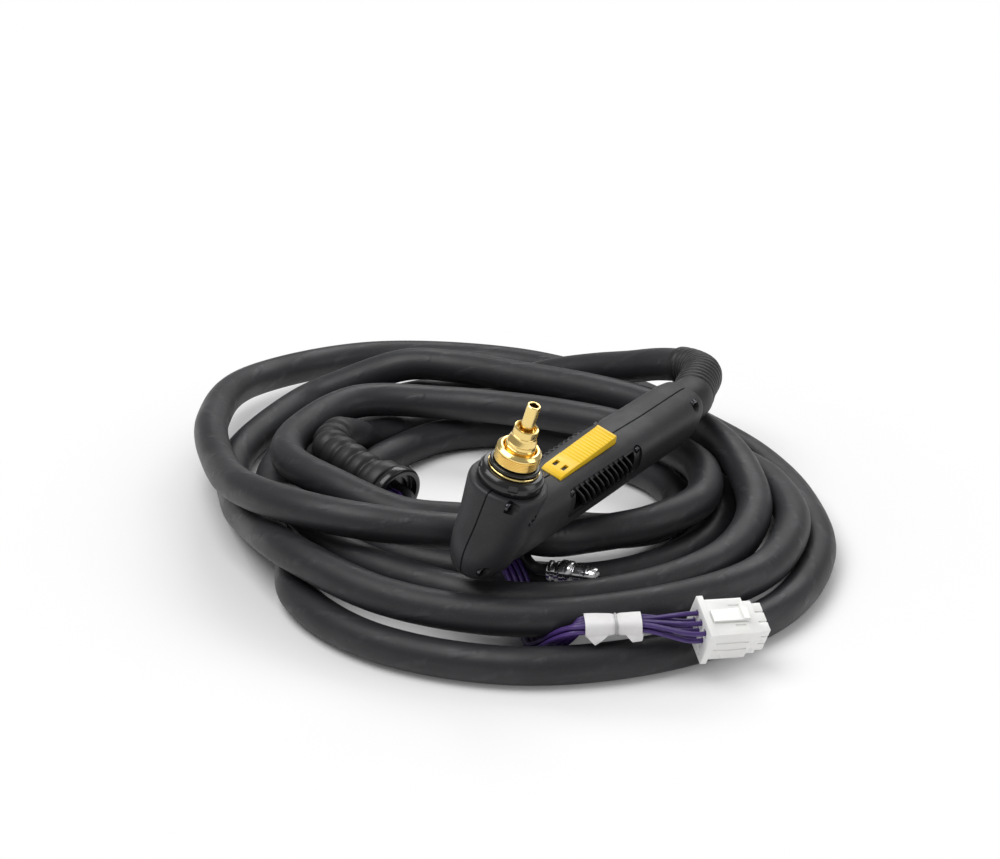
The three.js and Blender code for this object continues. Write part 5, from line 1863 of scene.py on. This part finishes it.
# ---------------------------------------------------------------- signal tail
@dataclass
class SignalTail:
    """Eight thin wires, the wrapped tag on them and the nine-way plug.

    The bundle's stops are its middle and its upper direction there, and its last two are the tag's ends. A
    tag's corner is its root and its tip along the tag, and how far it hangs.
    """

    wire: float = 1.2
    pitch: float = 2.9
    in_cup: float = -3.5
    into_cup: Pair = (0.3, 7.0)
    into_plug: Pair = (-7.0, 4.0)
    tag_thick: float = 0.35
    tag_long: float = 27.0
    tag_loose: float = 0.6
    tag_rows: int = 25
    tag_square: float = 4.0
    tag_sides: int = 48
    tag_corners: tuple[tuple[Pair, Pair, float], ...] = (
        ((0.0, 11.0), (4.6, 5.6), 5.0), ((19.0, 27.6), (22.4, 27.0), 4.0),
    )
    tie_at: Pair = (14.2, 15.5)
    tie_ease: float = 0.15
    tie_grow: Point = (0.1, 0.42, 0.62)
    plug_back: Point = (86, -180, 26)
    plug_axis: Point = (0.94, 0.32, -0.1)
    plug_up: Point = (0.13, -0.4, 0.91)
    plug_size: Point = (22, 18, 28)
    rim: Pair = (1.4, 3.2)
    step: Pair = (1.2, 8.0)
    shoulder: float = 5.0
    sleeve: Point = (2.5, 2.2, 4.8)
    key: Point = (1.1, 0.7, 3.0)
    key_z: Pair = (13.0, 7.2)
    flute: Point = (0.5, 0.5, 3.0)
    flute_z: Pair = (5.0, 6.0)
    cavity: Pair = (1.9, 6.0)
    socket: Pair = (1.25, 1.2)
    latch_half: float = 3.5
    latch_high: Pair = (1.6, 2.6)
    latch_z: Pair = (4.3, 5.0)
    tooth_z: Pair = (8.5, 5.4)
    plug_edge: float = 0.35
    latch_edge: float = 0.3
    seat_pitch: Pair = (6.0, 5.1)
    seats: tuple[tuple[int, int], ...] = ((-1, 1), (0, 1), (1, 1), (1, 0), (-1, 0), (0, 0), (0, -1), (1, -1))
    bundle: tuple[tuple[Point, Point], ...] = (
        ((-60, -40.5, 21), (0, 0.5, 1)), ((-49.5, -51.5, 12), (0, 0.3, 1)), ((-35, -60.5, 7), (0, 0, 1)),
        ((-25.5, -65.8, 9.8), (0.2, 0.5, 0.85)), ((-19.3, -73.4, 18.2), (0.2, 0.7, 0.7)),
        ((-12, -84, 22.5), (0, 0, 1)), ((-6, -93, 22.8), (0, -0.3, 1)), ((0, -104.5, 18), (0, -0.7, 0.7)),
        ((4, -117, 10), (0, -0.5, 0.85)), ((6, -132, 6.2), (0, 0, 1)), ((8, -147, 5.2), (0, 0, 1)),
        ((10, -160.5, 7), (0, 0.4, 0.9)), ((15, -169.5, 12.4), (-0.02, 0.77, 0.63)),
        ((20, -175, 18.5), (-0.05, 0.77, 0.63)), ((26, -179.4, 25.2), (-0.05, 0.4, 0.85)),
        ((32, -180, 28.6), (0, 0, 1)), ((59, -178.8, 29), (0, 0, 1)),
    )

    def bundle_frames(self) -> list[tuple[Vector, Vector, Vector]]:
        """The bundle's middle, across and upper directions at each stop.

        Returns:
            The three for each stop.
        """
        middles = [Vector(p) for p, _ in self.bundle]
        frames = []
        for k, (_, upper) in enumerate(self.bundle):
            along = (middles[min(k + 1, len(middles) - 1)] - middles[max(k - 1, 0)]).normalized()
            across = Vector(upper).cross(along).normalized()
            frames.append((middles[k], across, along.cross(across)))
        return frames

    def plug_frame(self) -> Matrix:
        """The plug's place: X across, Y up and Z from its wires to its mating end."""
        return directed(Vector(self.plug_back), Vector(self.plug_axis), Vector(self.plug_up))

    def tag_frame(self) -> Matrix:
        """The tag's place: X across, Y up and Z along the bundle."""
        middle, _, up = self.bundle_frames()[-2]
        return directed(middle, Vector(self.bundle[-1][0]) - middle, up)

    def build(self, lead: Lead, gland: list[bpy.types.Object]) -> None:
        """Builds the wires, the tag and the plug.

        Args:
            lead: The lead that carries the gland.
            gland: The gland's pieces. Not used.
        """
        plug = self.plug()
        tag = self.tag()
        _, _, on_gland = lead.gland_place()
        seat = self.plug_frame()
        per_row = len(self.seats) // 2
        for k, (column, row) in enumerate(self.seats):
            u = (k % per_row - (per_row - 1) / 2) * self.pitch
            v = (0.5 if k < per_row else -0.5) * self.pitch
            x, y = column * self.seat_pitch[0], row * self.seat_pitch[1]
            points = [on_gland(u + self.in_cup, v, lead.cup_floor + depth) for depth in self.into_cup]
            points += [middle + across * u + up * v for middle, across, up in self.bundle_frames()]
            points += [seat @ Vector((x, y, z)) for z in self.into_plug]
            line = evened(smooth_route(points, 10), 1.5)
            made = tube(f"wire_{k + 1}", line, lambda share: self.wire, 12)
            finished(made, COIL, JACKET, Slot.PURPLE, f"signal_wire_{k + 1}", angle_deg=70)

    def plug(self) -> list[bpy.types.Object]:
        """The housing with its rim, keyed top, nine sleeves and latch.

        Returns:
            The housing and the latch.
        """
        wide, high = self.plug_size[0] / 2, self.plug_size[1] / 2
        place = COIL @ self.plug_frame()
        housing = self.housing(wide, high, self.plug_size[2])
        latch = self.latch(high, self.plug_size[2])
        finished(housing, place, NYLON, Slot.NYLON, "plug_housing", angle_deg=30)
        finished(latch, place, NYLON, Slot.NYLON, "plug_latch", angle_deg=30)
        return [housing, latch]

    def housing(self, wide: float, high: float, long: float) -> bpy.types.Object:
        """Models the plug's housing.

        Args:
            wide: Half its width.
            high: Half its height.
            long: Its length without the sleeves.

        Returns:
            The housing on Z, from its wires to its mating end.
        """
        out, thick = self.rim
        inward, back = self.step
        near, far = wide - inward, high - inward
        housing = block("plug_housing_moulded", (-wide, wide), (-high, high), (0, long - self.shoulder))
        step = block("step", (-near, near), (-far, far), (long - back, long))
        rim = block("rim", (-wide - out, wide + out), (-high - out, high + out), (0, thick))
        combined(housing, Cut.ADD, step, rim)
        places = [(x * self.seat_pitch[0], y * self.seat_pitch[1]) for x in (-1, 0, 1) for y in (-1, 0, 1)]
        half_x, half_y, proud = self.sleeve
        for x, y in places:
            around = ((x - half_x, x + half_x), (y - half_y, y + half_y))
            combined(housing, Cut.ADD, block("sleeve", *around, (long - 1, long + proud)))
        half, depth, past = self.key
        along = (long - self.key_z[0], long - self.key_z[1])
        for x in (-self.seat_pitch[0], 0.0, self.seat_pitch[0]):
            for side in (1, -1):
                height = (side * (high - depth), side * (high + past))
                combined(housing, Cut.REMOVE, block("key", (x - half, x + half), height, along))
        half, depth, past = self.flute
        along = (self.flute_z[0], long - self.flute_z[1])
        for side in (-1, 1):
            for y in (-self.seat_pitch[1] / 2, self.seat_pitch[1] / 2):
                across = (side * (wide - depth), side * (wide + past))
                combined(housing, Cut.REMOVE, block("flute", across, (y - half, y + half), along))
        eased(housing, self.plug_edge, 2, 40)
        for x, y in places:
            cavity = rod("cavity", self.cavity[0], (x, y, -2), (x, y, self.cavity[1]), 24)
            socket = rod("socket", self.socket[0], (x, y, long - self.socket[1]), (x, y, BEYOND), 24)
            combined(housing, Cut.REMOVE, cavity, socket)
        return housing

    def latch(self, high: float, long: float) -> bpy.types.Object:
        """The latch's bar over the housing, with the tooth across its end.

        Args:
            high: Half the housing's height.
            long: The housing's length.

        Returns:
            The latch.
        """
        across = (-self.latch_half, self.latch_half)
        bar, tip = self.latch_high
        along = (self.latch_z[0], long - self.latch_z[1])
        latch = block("plug_latch_moulded", across, (high + GAP, high + bar), along)
        tooth = block("tooth", across, (high + tip - bar, high + tip), tuple(long - z for z in self.tooth_z))
        return eased(combined(latch, Cut.ADD, tooth), self.latch_edge, 2, 40)

    def wrapped(self, grow: float, z: float) -> list[Point]:
        """The outline round the bundle at a height of the tag, grown all round.

        Args:
            grow: How far it is grown.
            z: The height.

        Returns:
            The outline's points.
        """
        wide, high = self.tag_halves()
        reaches = (wide + grow, wide + grow, high + grow, high + grow)
        return [(x, y, z) for x, y in rounded_section(*reaches, self.tag_square, self.tag_sides)]

    def tag_halves(self) -> Pair:
        """Half the wrap's width and height."""
        loose = self.wire + self.tag_loose
        return self.pitch * 1.5 + loose, self.pitch * 0.5 + loose

    def wrap(self) -> bpy.types.Object:
        """The tag's open wrap, pinched by the tie and swollen towards its ends.

        Returns:
            The wrap as an open sheet.
        """
        wide, high = self.tag_halves()
        rings = []
        for t in np.linspace(0, 1, self.tag_rows):
            pinch = 0.3 - 0.55 * math.exp(-(((t - 0.55) / 0.05) ** 2))
            swell = 0.35 * math.sin(9 * t) + 0.5 * abs(2 * t - 1) ** 3
            lift = 0.25 * math.sin(7 * t + 1)
            reaches = (wide + swell + pinch - 0.3, wide + pinch, high + pinch, high + lift + pinch)
            outline = rounded_section(*reaches, self.tag_square, self.tag_sides)
            rings.append([(x, y, self.tag_long * t) for x, y in outline])
        wrap = skinned("tag_wrap", rings)
        with editing(wrap):
            bpy.ops.mesh.select_all(action="DESELECT")
            skin = bmesh.from_edit_mesh(wrap.data)
            for face in skin.faces:
                face.select = abs(face.normal.z) > 0.95 and len(face.verts) == 3
            bmesh.update_edit_mesh(wrap.data)
            bpy.ops.mesh.delete(type="FACE")
        return wrap

    def tag(self) -> list[bpy.types.Object]:
        """The wrapped tag with its hanging corners, and the tie round it.

        Returns:
            The tag and the tie.
        """
        wide, high = self.tag_halves()
        edge = (-wide - 0.3, -high + 0.8)
        tag = self.wrap()
        corners = [self.flap(edge, *loose) for loose in self.tag_corners]
        choose(tag)
        for corner in corners:
            corner.select_set(True)
        bpy.ops.object.join()
        modified(tag, "SOLIDIFY", thickness=self.tag_thick, offset=1.0)
        place = COIL @ self.tag_frame()
        finished(tag, place, TAPE, Slot.TAPE, "label_tag", angle_deg=50)

        foot, top = self.tie_at
        inner, edge, face = self.tie_grow
        heights = ((foot, edge), (foot + self.tie_ease, face), (top - self.tie_ease, face), (top, edge))
        tie = skinned("tag_tie", [self.wrapped(grow, z) for z, grow in heights])
        hole = skinned("tie_hole", [self.wrapped(inner, z) for z in (foot - 4, top + 4)])
        combined(tie, Cut.REMOVE, hole)
        finished(tie, place, TIE, Slot.TAPE, "label_tie")
        return [tag, tie]

    def flap(self, edge: Pair, root: Pair, tip: Pair, drop: float) -> bpy.types.Object:
        """A loose corner of the tag.

        Args:
            edge: Its root's place across and up.
            root: Its root's two ends along the tag.
            tip: Its tip's two ends along the tag.
            drop: How far it hangs.

        Returns:
            The corner as an open sheet.
        """
        rows = columns = 9
        points, faces = [], []
        for t in np.linspace(0, 1, rows):
            low, high = (root[k] + (tip[k] - root[k]) * t for k in (0, 1))
            for s in np.linspace(0, 1, columns):
                curl = 0.9 * math.sin(2.6 * t + 1.2 * s)
                points.append((edge[0] - curl * t, edge[1] - drop * t, low + (high - low) * s))
        for row in range(rows - 1):
            for column in range(columns - 1):
                a = row * columns + column
                faces.append((a, a + 1, a + columns + 1, a + columns))
        mesh = bpy.data.meshes.new("flap")
        mesh.from_pydata(points, [], faces)
        return link("flap", mesh)


# ---------------------------------------------------------------- studio
@dataclass
class Studio:
    """Camera, pale floor and soft lights, placed from the coil's centre.

    A lamp is its name, its place in millimetres, its sides in metres and its power in watts.
    """

    eye: Point = (-8.1, -1315.6, 611.6)
    tilt_deg: float = 23.0
    lens: float = 96.5
    sensor: float = 36.0
    clip: Pair = (0.05, 30.0)
    floor_z: float = 0.35
    floor_size: float = 12.0
    floor_tone: Point = (0.95, 0.945, 0.945)
    floor_roughness: float = 0.42
    floor_specular: float = 0.35
    white_from: float = 0.16
    white_to: float = 0.30
    sky_tone: Point = (1.0, 0.995, 0.995)
    sky_strength: float = 0.34
    aim: Point = (0, 0, 30)
    lamps: tuple[tuple[str, Point, Pair, float], ...] = (
        ("key", (-500, -300, 1250), (1.1, 0.9), 12.0),
        ("back", (350, 900, 900), (1.2, 0.5), 6.0),
        ("side", (1150, -350, 500), (0.6, 0.8), 2.6),
    )

    def camera(self) -> None:
        """Places the camera at the photograph's viewing angle."""
        data = bpy.data.cameras.new("camera")
        data.lens, data.sensor_width = self.lens, self.sensor
        data.clip_start, data.clip_end = self.clip
        camera = bpy.data.objects.new("camera", data)
        bpy.context.scene.collection.objects.link(camera)
        tilt = math.radians(self.tilt_deg)
        right, ahead = Vector((1, 0, 0)), Vector((0, math.cos(tilt), -math.sin(tilt)))
        turn = Matrix((right, right.cross(ahead), -ahead)).transposed().to_4x4()
        lay = Matrix.Rotation(math.radians(-LAY_DEG), 4, "Z")
        camera.matrix_world = Matrix.Translation(COIL @ Vector(self.eye)) @ lay @ turn
        bpy.context.scene.camera = camera

    def floor(self) -> None:
        """Adds the floor, which fades to plain white away from the object."""
        bpy.ops.object.select_all(action="DESELECT")
        bpy.ops.mesh.primitive_plane_add(size=self.floor_size, location=COIL @ Vector((0, 0, self.floor_z)))
        floor = bpy.context.object
        floor.name = "floor"
        material = bpy.data.materials.new("Pale floor")
        material.use_nodes = True
        sheet = NodeSheet(material.node_tree)
        surface = material.node_tree.nodes["Principled BSDF"]
        surface.inputs["Base Color"].default_value = (*self.floor_tone, 1)
        surface.inputs["Roughness"].default_value = self.floor_roughness
        surface.inputs["Specular IOR Level"].default_value = self.floor_specular
        ray = sheet.add("LightPath").outputs
        shown = sheet.math("MAXIMUM", ray["Is Camera Ray"], ray["Is Glossy Ray"])
        shown = sheet.math("MAXIMUM", shown, ray["Is Transmission Ray"])
        reach = sheet.add("VectorMath", {0: sheet.add("TexCoord").outputs["Object"]}, operation="LENGTH")
        far = sheet.ramp(reach.outputs["Value"], self.white_from, self.white_to)
        part = sheet.math("MULTIPLY", far, shown)
        white = sheet.add("Emission", {"Color": (1, 1, 1, 1), "Strength": 1.0})
        blend = sheet.add("MixShader", {0: part, 1: surface.outputs[0], 2: white.outputs[0]})
        sheet.feed(material.node_tree.nodes["Material Output"].inputs["Surface"], blend.outputs[0])
        floor.data.materials.append(material)

    def world(self) -> None:
        """White where it is seen, and plain soft light elsewhere."""
        world = bpy.data.worlds.new("world")
        bpy.context.scene.world = world
        world.use_nodes = True
        sheet = NodeSheet(world.node_tree)
        light = world.node_tree.nodes["Background"]
        light.inputs["Color"].default_value = (*self.sky_tone, 1)
        light.inputs["Strength"].default_value = self.sky_strength
        white = sheet.add("Background", {"Color": (1, 1, 1, 1), "Strength": 1.0})
        seen = sheet.add("LightPath").outputs["Is Camera Ray"]
        blend = sheet.add("MixShader", {0: seen, 1: light.outputs[0], 2: white.outputs[0]})
        sheet.feed(world.node_tree.nodes["World Output"].inputs["Surface"], blend.outputs[0])

    def lamp(self, name: str, place: Point, size: Pair, watts: float) -> None:
        """Adds a soft box that faces the object.

        Args:
            name: The lamp's name.
            place: Its place from the coil's centre, in millimetres.
            size: Its sides in metres.
            watts: Its power.
        """
        data = bpy.data.lights.new(name, "AREA")
        data.shape, data.energy = "RECTANGLE", watts
        data.size, data.size_y = size
        lamp = bpy.data.objects.new(name, data)
        bpy.context.scene.collection.objects.link(lamp)
        there, target = COIL @ Vector(place), COIL @ Vector(self.aim)
        lamp.location = there
        lamp.rotation_mode = "QUATERNION"
        lamp.rotation_quaternion = (target - there).to_track_quat("-Z", "Y")

    def build(self) -> None:
        """Builds the studio."""
        self.camera()
        self.floor()
        self.world()
        for lamp in self.lamps:
            self.lamp(*lamp)
        bpy.context.scene.view_settings.view_transform = "Standard"


def main() -> None:
    """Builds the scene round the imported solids, camera and cords first."""
    logging.basicConfig(level=logging.INFO, format="%(message)s")
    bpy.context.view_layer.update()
    Studio().build()
    lead = Lead()
    gland = lead.build()
    GasTail().build(lead, gland)
    SignalTail().build(lead, gland)
    Head().build()
    Trigger().build()
    Handle().build()


if __name__ == "__main__":
    main()
